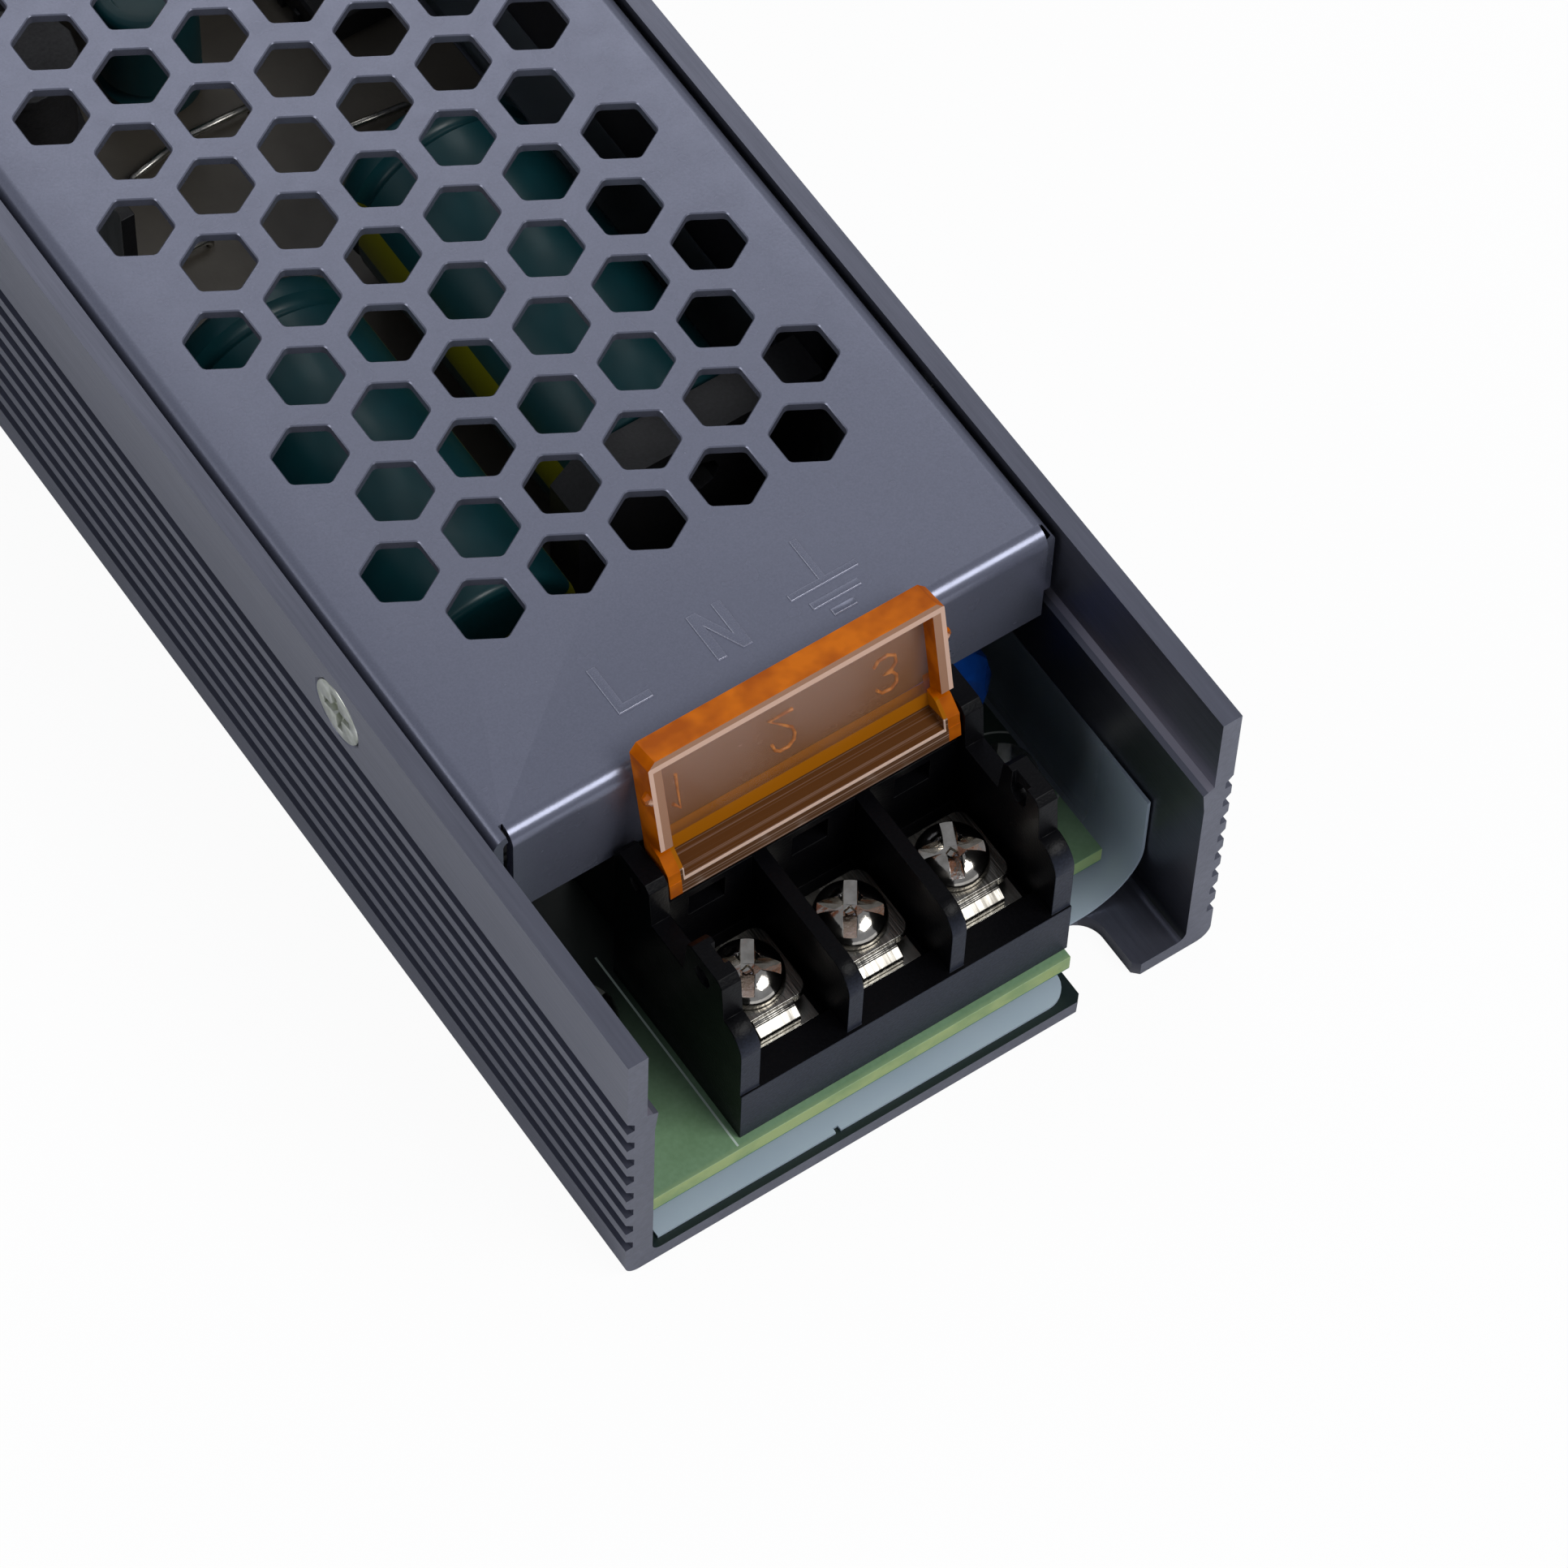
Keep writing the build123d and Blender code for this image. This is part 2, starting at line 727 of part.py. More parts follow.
def disc_part(size):
    """A dipped disc on two leads, its face along Y."""
    across, thick = size
    radius = across / 2
    soft = thick / 3
    outline = [(radius - soft, -thick / 2), (radius, -soft / 2), (radius, soft / 2),
               (radius - soft, thick / 2)]
    centre = radius + lead
    disc = Pos(0, 0, centre) * Rot(90, 0, 0) * turned(outline, disc_sides)
    return disc + lead_pair(radius, centre)


def can(size, groove=()):
    """An aluminium can in its sleeve, base at Z = 0. A groove is its depth and its height."""
    across, long = size
    r = across / 2
    lip = r * can_lip
    neck = [(r, groove[1] - lip), (r - groove[0], groove[1]), (r, groove[1] + lip)] if groove else []
    return turned([(r, 0), *neck, (r, long - lip), (r - lip, long)], can_sides)


def lying_can(size, place):
    """A can along Y with its top to the mains end and its leads bent down behind it."""
    across, long = size
    middle = across / 2 + seat_gap
    body = Pos(0, long, middle) * Rot(90, 0, 0) * can(size, bulk_groove)
    bend = long + 3 * lead
    for x in (-bulk_lead_pitch / 2, bulk_lead_pitch / 2):
        body += box(x - lead / 2, x + lead / 2, long - lead, bend, middle - lead / 2, middle + lead / 2)
        body += box(x - lead / 2, x + lead / 2, bend - lead, bend, 0, middle)
    return on_board(place, body)


def make_filter_choke():
    wide, deep, tall = filter_core_size
    foot = filter_foot
    plate = filter_plate
    gap = bobbin_gap
    leg_x = wide / 2 - filter_core_leg / 2
    core = box(-wide / 2, wide / 2, -deep / 2, deep / 2, foot, foot + tall)
    window = wide / 2 - filter_core_leg
    core -= box(-window, window, -deep, deep, foot + filter_core_leg, foot + tall - filter_core_leg)
    low = foot + filter_core_leg + gap
    high = foot + tall - filter_core_leg - gap
    bobbin = box(-wide / 2, wide / 2, -deep, deep, 0, foot)
    coils = []
    for side in (-1, 1):
        x = side * leg_x
        hole = box(x - filter_core_leg / 2 - gap, x + filter_core_leg / 2 + gap, -deep / 2 - gap,
                   deep / 2 + gap,
                   low - overcut, high + overcut)
        half_x = filter_core_leg / 2 + filter_coil_half
        half_y = deep / 2 + filter_coil_half
        for z in (low, high - plate):
            bobbin += box(x - half_x, x + half_x, -half_y, half_y, z, z + plate) - hole
        for y in (-half_y, half_y):
            near, far = sorted((y, y - math.copysign(plate, y)))
            bobbin += box(x - plate, x + plate, near, far, foot, low)
        half_x -= filter_coil_inset
        half_y -= filter_coil_inset
        coil = box(x - half_x, x + half_x, -half_y, half_y, low + plate, high - plate)
        coil = chamfer(coil.edges().filter_by(Axis.Z), filter_coil_corner)
        coils.append(coil - hole)
    return [on_board(filter_choke_place, part) for part in (core, bobbin, Compound(children=coils))]


def make_bridge():
    wide, deep, tall = bridge_size
    low = bridge_bottom - board_top
    bridge = box(-wide / 2, wide / 2, -deep / 2, deep / 2, low, low + tall)
    corner = bridge.edges().filter_by(Axis.Y).sort_by(lambda e: e.center().X - e.center().Z)[0]
    bridge = chamfer(corner, bridge_corner)
    bridge -= lengthwise(0, low + tall * bridge_hole_share, -deep, deep, bridge_hole, few_sides)
    for index in range(4):
        x = (index - 1.5) * bridge_pitch
        bridge += box(x - lead, x + lead, -lead / 2, lead / 2, 0, low + root)
    return on_board(bridge_place, bridge)


def power_package():
    """A power transistor or rectifier, back at Y = 0, standing on three leads."""
    wide, deep, tall = package_size
    low = package_bottom - board_top
    body = box(-wide / 2, wide / 2, 0, deep, low, low + tall)
    body = chamfer(body.faces().sort_by(Axis.Y)[-1].edges(), package_edge)
    tab = box(-wide / 2, wide / 2, 0, package_tab_thickness, low + tall - root, low + tall + package_tab)
    tab -= lengthwise(0, low + tall + package_tab / 2, -overcut, deep, package_hole, few_sides)
    body += tab
    for x in (-package_pitch, 0.0, package_pitch):
        body += box(x - lead / 2, x + lead / 2, deep / 2, deep / 2 + lead, 0, low + root)
    return body


def make_spreader():
    """An angle of aluminium: one leg on the side wall, one across the board."""
    wall = -wall_inner + seat_gap
    inner = wall + spreader_thickness
    front = from_front(spreader_place)
    rear = front + spreader_thickness
    across = box(inner, wall + spreader_width, front, rear, board_top, spreader_top)
    across = rounded(across, Axis.Y, spreader_corner, lambda p: p.Z > spreader_top - 0.1 and p.X > inner + 1)
    foot = box(wall, inner, front, rear, board_top, spreader_leg_top)
    along_wall = box(wall, inner, front, front + spreader_length, board_top, spreader_leg_top)
    return across + foot + along_wall


def make_switch():
    wide, deep, tall = package_size
    x = -wall_inner + seat_gap + spreader_thickness + seat_gap + wide / 2
    return on_board((x, spreader_place + spreader_thickness + seat_gap), power_package())


def make_rectifiers():
    wall = -wall_inner + seat_gap
    return [on_board((wall, place), Rot(0, 0, -90) * power_package()) for place in rectifier_places]


def make_strap():
    """A spring strip that holds both rectifiers to the wall."""
    wide, deep, tall = package_size
    x = -wall_inner + 2 * seat_gap + deep
    first = from_front(rectifier_places[0]) - wide / 2
    last = from_front(rectifier_places[1]) + wide / 2
    low = package_bottom + tall * strap_share
    strap = box(x, x + strap_thickness, first, last, low, low + tall * strap_share)
    return chamfer(strap.edges().filter_by(Axis.X), strap_thickness)


def make_jumpers():
    wires = []
    for x0, x1, distance in jumpers:
        y = from_front(distance)
        half = jumper_wire / 2
        wire = box(x0, x1, y - half, y + half, board_top + jumper_rise - half, board_top + jumper_rise + half)
        for x in (x0, x1 - jumper_wire):
            wire += box(x, x + jumper_wire, y - half, y + half, board_top, board_top + jumper_rise)
        wires.append(wire)
    return wires


def make_drum():
    across, tall = drum_size
    r = across / 2
    flange = drum_flange
    waist = r * drum_waist
    outline = [(r, 0), (r, flange), (waist, flange), (waist, tall - flange), (r, tall - flange), (r, tall)]
    return on_board(drum_place, turned(outline, disc_sides))


def chip(size):
    """A moulded chip with two rows of legs."""
    wide, deep, tall = size
    body = box(-wide / 2, wide / 2, -deep / 2, deep / 2, chip_stand, tall)
    body = chamfer(body.faces().sort_by(Axis.Z)[-1].edges(), chip_edge)
    rows = max(2, round(deep / chip_pitch))
    pitch = deep / rows
    for index in range(rows):
        y = (index - (rows - 1) / 2) * pitch
        for x in (-wide / 2, wide / 2):
            body += box(x - chip_leg, x + chip_leg, y - lead / 2, y + lead / 2, 0, tall / 2)
    return body


def make_transformer():
    half_l = core_length / 2
    half_w = core_width / 2
    low = core_bottom - board_top
    high = low + core_thickness
    window_x = half_l - core_back
    window_y = half_w - core_side
    centre = core_centre / 2
    core = box(-half_l, half_l, -half_w, half_w, low, high)
    for side in (-1, 1):
        near, far = sorted((side * centre, side * window_y))
        core -= box(-window_x, window_x, near, far, low - overcut, high + overcut)
    gap = bobbin_gap
    leg = box(-window_x - overcut, window_x + overcut, -centre - gap, centre + gap, low - gap, high + gap)
    flange_y = window_y - gap
    flange_low = max(low - coil_rise, gap)
    flange_high = high + coil_rise
    bobbin = box(-window_x + gap, window_x - gap, -centre - 2 * gap, centre + 2 * gap, low - 2 * gap,
                 high + 2 * gap)
    for side in (-1, 1):
        near, far = sorted((side * (window_x - gap), side * (window_x - gap - bobbin_flange)))
        bobbin += box(near, far, -flange_y, flange_y, flange_low, flange_high)
        near, far = sorted((side * (window_x - gap - bobbin_flange), side * (half_l - 1)))
        bobbin += box(near, far, -flange_y, flange_y, 0, flange_low + bobbin_foot)
    bobbin -= leg
    coil_x = window_x - 2 * gap - bobbin_flange
    coil_y = flange_y - coil_inset
    coil = box(-coil_x, coil_x, -coil_y, coil_y, flange_low + bobbin_foot + gap, flange_high - coil_inset)
    coil = chamfer(coil.edges().filter_by(Axis.X), coil_corner)
    sleeve = 3 * gap
    coil -= box(-half_l, half_l, -centre - sleeve, centre + sleeve, low - sleeve, high + sleeve)
    return [on_board(transformer_place, part) for part in (core, bobbin, coil)]


def make_output_choke():
    outer, inner, tall = output_ring
    base = output_wire + seat_gap
    core = upright(0, 0, base, base + tall, outer, can_sides)
    core -= upright(0, 0, 0, base + tall + overcut, roomy(inner, disc_sides), disc_sides)
    gap = seat_gap
    turns = []
    start = inner / 2 - gap - output_wire
    stop = outer / 2 + gap + output_wire
    loop = box(start, stop, -output_wire / 2, output_wire / 2, 0, 2 * base + tall)
    loop = chamfer(loop.edges().filter_by(Axis.Y), output_wire / 2)
    loop -= box(start + output_wire, stop - output_wire, -output_wire, output_wire, output_wire,
                2 * base + tall - output_wire)
    for index in range(output_turns):
        turns.append(Rot(0, 0, output_turn_from + index * output_turn_span / (output_turns - 1)) * loop)
    return [on_board(output_choke_place, part) for part in (core, Compound(children=turns))]


def make_lamp():
    across, tall = lamp_size
    r = across / 2
    collar = r + lamp_collar
    dome = [(r * math.cos(a), tall - r + r * math.sin(a)) for a in map(math.radians, (0, 30, 60, 80))]
    lamp = turned([(collar, 0), (collar, lamp_collar_height), (r, lamp_collar_height), *dome], head_sides)
    x, distance = lamp_place
    return Pos(x, half_length - distance, board_top) * lamp


def make_trimmer():
    """The trimmer's housing with a round well, and the rotor that turns in it."""
    side = trimmer_side / 2
    play = rotor_play
    housing = box(-side, side, -side, side, 0, trimmer_height)
    housing = chamfer(housing.edges().filter_by(Axis.Z), trimmer_corner)
    well = roomy(rotor_size + 2 * play, can_sides)
    housing -= upright(0, 0, trimmer_height - rotor_depth, trimmer_height + overcut, well, can_sides)
    top = trimmer_height + rotor_rise
    rotor = upright(0, 0, trimmer_height - rotor_depth + play, top, rotor_size, can_sides)
    arm = rotor_size * rotor_arm
    for turn in (0, 90):
        rotor -= Pos(0, 0, top) * Rot(0, 0, turn) * Box(arm, lead, recess_depth)
    x, distance = trimmer_place
    seat = Pos(x, half_length - distance, board_top)
    return seat * housing, seat * rotor


save("chassis", make_chassis())
save("top_cover", make_top_cover())
save("cover_screws", Compound(children=make_cover_screws()))
save("circuit_board", make_board())
save("insulation_sheet", make_film())
save("board_posts", Compound(children=make_posts()))
save("board_screws", Compound(children=make_board_screws()))

for end, place, poles, shift, turn in (("input", at_input, input_poles, 0.0, -open_turn),
                                       ("output", at_output, output_poles, output_shift, 0.0)):
    save(end + "_terminal_block", place(make_block(poles), shift))
    contacts = [Pos(x, 0, 0) * contact_plate() for x in pole_places(poles)]
    save(end + "_contacts", place(Compound(children=contacts), shift))
    save(end + "_terminal_cover", place(make_lid(poles, turn), shift))
    for number, x in enumerate(pole_places(poles), start=1):
        save(f"{end}_clamp_{number}", place(Pos(x, 0, 0) * clamp_plate(), shift))
        save(f"{end}_screw_{number}", place(Pos(x, 0, 0) * terminal_screw(25 * number), shift))

save("fuse", on_board(fuse_place, block_part(fuse_size)))
save("varistor", on_board(varistor_place, disc_part(varistor_size)))
save("inrush_thermistor", on_board(thermistor_place, disc_part(thermistor_size)))
save("filter_capacitor", on_board(filter_capacitor_place, block_part(filter_capacitor_size)))
filter_core, filter_bobbin, filter_coils = make_filter_choke()
save("filter_choke_core", filter_core)
save("filter_choke_bobbin", filter_bobbin)
save("filter_choke_windings", filter_coils)
save("bridge_rectifier", make_bridge())
save("bulk_capacitor_left", lying_can(bulk_can, bulk_left_place))
save("bulk_capacitor_right", lying_can(bulk_can, bulk_right_place))
save("jumper_wires", Compound(children=make_jumpers()))
save("heat_spreader", make_spreader())
save("switching_transistor", make_switch())
save("start_capacitor", on_board(start_can_place, can(start_can)))
save("storage_choke", make_drum())
save("control_chip", on_board(chip_place, chip(chip_size)))
save("optocoupler", on_board(coupler_place, chip(coupler_size)))
transformer_core, transformer_bobbin, transformer_winding = make_transformer()
save("transformer_core", transformer_core)
save("transformer_bobbin", transformer_bobbin)
save("transformer_winding", transformer_winding)
save("safety_capacitors",
     Compound(children=[on_board(place, disc_part(safety_size)) for place in safety_places]))
save("output_rectifiers", Compound(children=make_rectifiers()))
save("rectifier_strap", make_strap())
ring_core, ring_winding = make_output_choke()
save("output_choke_core", ring_core)
save("output_choke_winding", ring_winding)
save("output_capacitors",
     Compound(children=[on_board(place, can(output_can)) for place in output_can_places]))
save("indicator_lamp", make_lamp())
trimmer_housing, trimmer_rotor = make_trimmer()
save("trimmer_housing", trimmer_housing)
save("trimmer_rotor", trimmer_rotor)
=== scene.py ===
import json
from math import asin, cos, degrees, pi, radians, sin, sqrt
import bmesh
import bpy
from mathutils import Matrix, Vector, geometry

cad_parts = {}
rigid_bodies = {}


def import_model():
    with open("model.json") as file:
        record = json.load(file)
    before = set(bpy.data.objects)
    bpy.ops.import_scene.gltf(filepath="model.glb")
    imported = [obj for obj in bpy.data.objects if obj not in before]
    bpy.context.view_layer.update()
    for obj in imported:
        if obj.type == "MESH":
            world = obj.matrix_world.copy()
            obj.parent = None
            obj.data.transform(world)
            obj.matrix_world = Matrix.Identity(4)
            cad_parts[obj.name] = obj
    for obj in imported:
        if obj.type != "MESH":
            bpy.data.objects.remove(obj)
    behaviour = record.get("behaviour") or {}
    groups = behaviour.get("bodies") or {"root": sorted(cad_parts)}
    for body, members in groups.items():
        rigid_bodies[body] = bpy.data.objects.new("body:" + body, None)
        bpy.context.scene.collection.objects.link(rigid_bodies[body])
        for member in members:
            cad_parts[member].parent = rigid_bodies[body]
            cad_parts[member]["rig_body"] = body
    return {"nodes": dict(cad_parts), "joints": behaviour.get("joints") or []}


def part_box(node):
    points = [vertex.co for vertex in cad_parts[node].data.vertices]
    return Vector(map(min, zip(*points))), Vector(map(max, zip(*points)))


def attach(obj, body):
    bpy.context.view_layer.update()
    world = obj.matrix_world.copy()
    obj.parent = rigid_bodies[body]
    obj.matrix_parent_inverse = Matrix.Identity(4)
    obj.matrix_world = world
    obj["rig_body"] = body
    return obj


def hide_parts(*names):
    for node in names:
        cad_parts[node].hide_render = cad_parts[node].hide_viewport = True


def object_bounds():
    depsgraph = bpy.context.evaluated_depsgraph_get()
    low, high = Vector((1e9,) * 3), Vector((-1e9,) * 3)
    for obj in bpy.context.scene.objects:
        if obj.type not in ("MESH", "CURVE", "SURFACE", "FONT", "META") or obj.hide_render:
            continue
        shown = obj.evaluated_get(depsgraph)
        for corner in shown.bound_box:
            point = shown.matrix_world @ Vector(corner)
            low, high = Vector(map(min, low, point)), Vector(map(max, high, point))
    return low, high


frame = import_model()
cadLow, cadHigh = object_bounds()
nodes = frame["nodes"]
mm = 0.001

# the camera stands where the photograph was taken from, in millimetres and degrees
photoView = {
    "place": (-153.4, -282.9, 441.7),
    "turn": (31.282, -1.483, -34.097),
    "lens": 164.4,
    "sensor": 36.0,
}
scene = bpy.context.scene
scene.view_settings.view_transform = "Standard"
camera = bpy.data.objects.new("photoCamera", bpy.data.cameras.new("photoCamera"))
camera.location = [value * mm for value in photoView["place"]]
camera.rotation_euler = [radians(value) for value in photoView["turn"]]
camera.data.sensor_width = photoView["sensor"]
camera.data.lens = photoView["lens"]
camera.data.clip_start = 0.01
scene.collection.objects.link(camera)
scene.camera = camera
print("camera: placed")


def tone(red, green, blue):
    # a colour as a screen shows it, from 0 to 255, turned into what a shader takes
    parts = [value / 255 for value in (red, green, blue)]
    return tuple(p / 12.92 if p < 0.04045 else ((p + 0.055) / 1.055) ** 2.4 for p in parts) + (1.0,)


class Wire:
    # an output socket that takes part in plain sums
    def __init__(self, shader, socket):
        self.shader = shader
        self.socket = socket

    def sum(self, operation, first, second=0.0):
        return self.shader.add("ShaderNodeMath", {"operation": operation}, {0: first, 1: second})

    def __add__(self, other):
        return self.sum("ADD", self, other)

    def __radd__(self, other):
        return self.sum("ADD", other, self)

    def __sub__(self, other):
        return self.sum("SUBTRACT", self, other)

    def __rsub__(self, other):
        return self.sum("SUBTRACT", other, self)

    def __mul__(self, other):
        return self.sum("MULTIPLY", self, other)

    def __rmul__(self, other):
        return self.sum("MULTIPLY", other, self)

    def __pow__(self, other):
        return self.sum("POWER", self, other)

    def __gt__(self, other):
        return self.sum("GREATER_THAN", self, other)

    def __lt__(self, other):
        return self.sum("LESS_THAN", self, other)

    def __neg__(self):
        return self.sum("MULTIPLY", self, -1.0)

    def __abs__(self):
        return self.sum("ABSOLUTE", self)

    def most(self, other):
        return self.sum("MAXIMUM", self, other)

    def other(self, name):
        return Wire(self.shader, self.socket.node.outputs[name])


class Shader:
    def __init__(self, name, home=None):
        # home is a world, where the nodes aren't a material's
        self.material = home or bpy.data.materials.new(name)
        self.material.use_nodes = True
        self.tree = self.material.node_tree
        self.tree.nodes.clear()

    def add(self, kind, settings=None, sockets=None, out=0):
        node = self.tree.nodes.new(kind)
        for key, value in (settings or {}).items():
            setattr(node, key, value)
        for key, value in (sockets or {}).items():
            if isinstance(value, Wire):
                self.tree.links.new(value.socket, node.inputs[key])
            else:
                node.inputs[key].default_value = value
        return Wire(self, node.outputs[out]) if node.outputs else None

    def place(self, stretch=(1, 1, 1)):
        spot = self.add("ShaderNodeTexCoord", out="Object")
        if stretch == (1, 1, 1):
            return spot
        return self.add("ShaderNodeVectorMath", {"operation": "MULTIPLY"}, {0: spot, 1: stretch})

    def normal(self):
        # the surface's own direction, which turns with the piece
        facing = self.add("ShaderNodeSeparateXYZ", sockets={0: self.add("ShaderNodeTexCoord", out="Normal")})
        return [facing.other(name) for name in "XYZ"]

    def axes(self):
        spot = self.add("ShaderNodeSeparateXYZ", sockets={0: self.place()})
        return [spot.other(name) * 1000 for name in "XYZ"]  # millimetres

    def noise(self, size, detail=2.0, stretch=(1, 1, 1)):
        # size is that of the coarsest grain, in millimetres
        sockets = {"Vector": self.place(stretch), "Scale": 1 / (size * mm), "Detail": detail}
        return self.add("ShaderNodeTexNoise", sockets=sockets)

    def mix(self, factor, first, second):
        sockets = {0: factor, 6: first, 7: second}
        return self.add("ShaderNodeMix", {"data_type": "RGBA"}, sockets, out=2)

    def span(self, value, low, high):
        # 0 at low and 1 at high
        sockets = {"Value": value, "From Min": low, "From Max": high}
        return self.add("ShaderNodeMapRange", {"clamp": True}, sockets)

    def even(self, value, low=0.35, high=0.65):
        # a noise's middle range, spread over 0 to 1
        return self.span(value, low, high)

    def bump(self, height, distance):
        return self.add("ShaderNodeBump", sockets={"Height": height, "Distance": distance * mm, "Strength": 1.0})

    def finish(self, sockets):
        return self.output(self.plastic(sockets))

    def plastic(self, sockets):
        return self.add("ShaderNodeBsdfPrincipled", sockets=sockets)

    def blend(self, factor, first, second):
        return self.add("ShaderNodeMixShader", sockets={0: factor, 1: first, 2: second})

    def output(self, surface, kind="ShaderNodeOutputMaterial"):
        self.add(kind, sockets={"Surface": surface})
        return self.material


# every plain finish: colour and its darker fleck, grain in millimetres, gloss, and fine relief; what a finish
# leaves out is the usual one's
usualFinish = {
    "grain": 0.5, "stretch": (1, 1, 1), "metallic": 0.0, "roughness": 0.35, "spread": 0.1, "relief": 0.01,
    "reliefGrain": 0.3,
}
finishes = {
    "coverPaint": {"colour": tone(116, 119, 136), "fleck": tone(109, 112, 128), "grain": 0.16,
        "metallic": 0.50, "roughness": 0.26, "spread": 0.05, "relief": 0.003, "reliefGrain": 0.22},
    "nickel": {"colour": tone(204, 199, 190), "fleck": tone(172, 167, 158), "grain": 0.8, "metallic": 1.0,
        "roughness": 0.12, "spread": 0.06, "reliefGrain": 0.5},
    "brushedNickel": {"colour": tone(160, 157, 150), "fleck": tone(98, 95, 89), "grain": 0.26,
        "stretch": (1, 0.06, 0.06), "metallic": 1.0, "roughness": 0.26, "spread": 0.12, "relief": 0.030,
        "reliefGrain": 0.28},
    "zinc": {"colour": tone(205, 207, 200), "fleck": tone(168, 172, 158), "grain": 0.7, "metallic": 1.0,
        "roughness": 0.30, "spread": 0.12, "relief": 0.012, "reliefGrain": 0.5},
    "tinned": {"colour": tone(205, 203, 196), "fleck": tone(170, 166, 156), "grain": 0.6,
        "stretch": (1, 0.3, 1), "metallic": 1.0, "roughness": 0.28, "spread": 0.12, "reliefGrain": 0.4},
    "chipMould": {"colour": tone(34, 34, 37), "fleck": tone(24, 24, 26), "grain": 0.3, "roughness": 0.5,
        "relief": 0.02, "reliefGrain": 0.2},
    "fuseCase": {"colour": tone(22, 24, 26), "fleck": tone(16, 17, 18)},
    "blueDip": {"colour": tone(8, 58, 132), "fleck": tone(6, 48, 112), "grain": 1.2, "roughness": 0.26,
        "spread": 0.08, "relief": 0.05, "reliefGrain": 1.6},
    "darkDip": {"colour": tone(30, 36, 33), "fleck": tone(22, 27, 24), "grain": 1.0, "relief": 0.05,
        "reliefGrain": 1.4},
    "greyCase": {"colour": tone(34, 35, 38), "fleck": tone(26, 27, 30), "grain": 1.0, "roughness": 0.38,
        "spread": 0.08, "reliefGrain": 0.4},
    "ferrite": {"colour": tone(52, 52, 55), "fleck": tone(36, 36, 38), "grain": 0.3, "metallic": 0.1,
        "roughness": 0.55, "spread": 0.12, "relief": 0.03, "reliefGrain": 0.2},
    "enamelWire": {"colour": tone(170, 92, 44), "fleck": tone(140, 70, 32), "metallic": 0.8,
        "roughness": 0.25},
    "plainSheet": {"colour": tone(196, 198, 202), "fleck": tone(172, 174, 178), "stretch": (1, 1, 0.08),
        "metallic": 0.9, "roughness": 0.36, "relief": 0.008},
    "trimmerBlue": {"colour": tone(34, 84, 176), "fleck": tone(28, 72, 156), "grain": 0.6, "roughness": 0.34,
        "spread": 0.06, "relief": 0.008},
    "rotorWhite": {"colour": tone(228, 226, 216), "fleck": tone(214, 210, 198), "grain": 0.6,
        "roughness": 0.4, "spread": 0.06, "relief": 0.008},
}


def plainFinish(name):
    look = {**usualFinish, **finishes[name]}
    shader = Shader(name)
    grain = shader.noise(look["grain"], 3.0, look["stretch"])
    cloud = shader.noise(look["grain"] * 14, 2.0, look["stretch"])
    relief = shader.noise(look["reliefGrain"], 2.0, look["stretch"])
    return shader.finish({
        "Base Color": shader.mix(shader.even(grain * 0.7 + cloud * 0.3), look["colour"], look["fleck"]),
        "Metallic": look["metallic"],
        "Roughness": look["roughness"] + (cloud - 0.5) * look["spread"] * 2,
        "Normal": shader.bump(relief, look["relief"]),
    })


materials = {name: plainFinish(name) for name in finishes}

# the channel's dark anodised aluminium, drawn along its length; painted shade darkens its inner walls, painted shade
# and a painted green reflection darken the base's lips, and a painted highlight runs along the ledge
channelLook = {
    "colour": tone(104, 106, 119), "fleck": tone(95, 97, 109), "shadedInside": tone(67, 68, 78), "lip": tone(24, 38, 38),
    "ledgeHighlight": tone(136, 134, 146), "ledge": 21.5, "lineWidth": 0.22, "insideTo": 23.4, "lipFrom": 88.0,
    "lipTop": 2.2, "lipSide": 14.6, "lipLeftMore": 8, "metallic": 0.80, "lipMetallic": 0.30, "roughness": 0.34,
    "spread": 0.16, "relief": 0.010, "grain": 0.25, "streak": 0.5, "cloud": 7.0, "drawn": (1, 0.06, 1),
}


def makeChannel():
    look = channelLook
    shader = Shader("anodised")
    x, y, z = shader.axes()
    nx, nz = shader.normal()[::2]
    streaks = shader.noise(look["streak"], 3.0, look["drawn"])
    cloud = shader.noise(look["cloud"], 2.0, look["drawn"])
    body = shader.mix(shader.even(streaks * 0.7 + cloud * 0.3), look["colour"], look["fleck"])
    # painted shade: the inner walls take a darker tone than the outside
    inner = (abs(x) < look["insideTo"]) * (abs(nx) > 0.6)
    body = shader.mix(inner, body, look["shadedInside"])
    # painted shade and a painted reflection of the green board: the base's top near each end darker, greener and less
    # metallic
    lipWide = look["lipSide"] + (x < 0) * look["lipLeftMore"]
    lip = (abs(y) > look["lipFrom"]) * (z < look["lipTop"]) * (nz > 0.5) * (abs(x) < lipWide)
    body = shader.mix(lip, body, look["lip"])
    # painted highlight: a light line along the ledge
    line = (abs(z - look["ledge"]) < look["lineWidth"]) * (nz > 0.2) * (nz < 0.97)
    body = shader.mix(line, body, look["ledgeHighlight"])
    return shader.finish({
        "Base Color": body,
        "Metallic": look["metallic"] - lip * (look["metallic"] - look["lipMetallic"]),
        "Roughness": look["roughness"] + (cloud - 0.5) * look["spread"],
        "Normal": shader.bump(shader.noise(look["grain"], 2.0, look["drawn"]), look["relief"]),
    })


materials["anodised"] = makeChannel()

# the terminal blocks' black moulding, greyer on the face that the light meets
mouldLook = {
    "colour": tone(8, 8, 11), "fleck": tone(5, 5, 7), "front": tone(49, 53, 65), "frontFleck": tone(40, 43, 53),
    "frontFrom": 90.3, "frontTo": 91.4, "roughness": 0.36, "spread": 0.16, "grain": 0.22, "cloud": 3.0,
    "relief": 0.02, "sheen": 0.10,
}


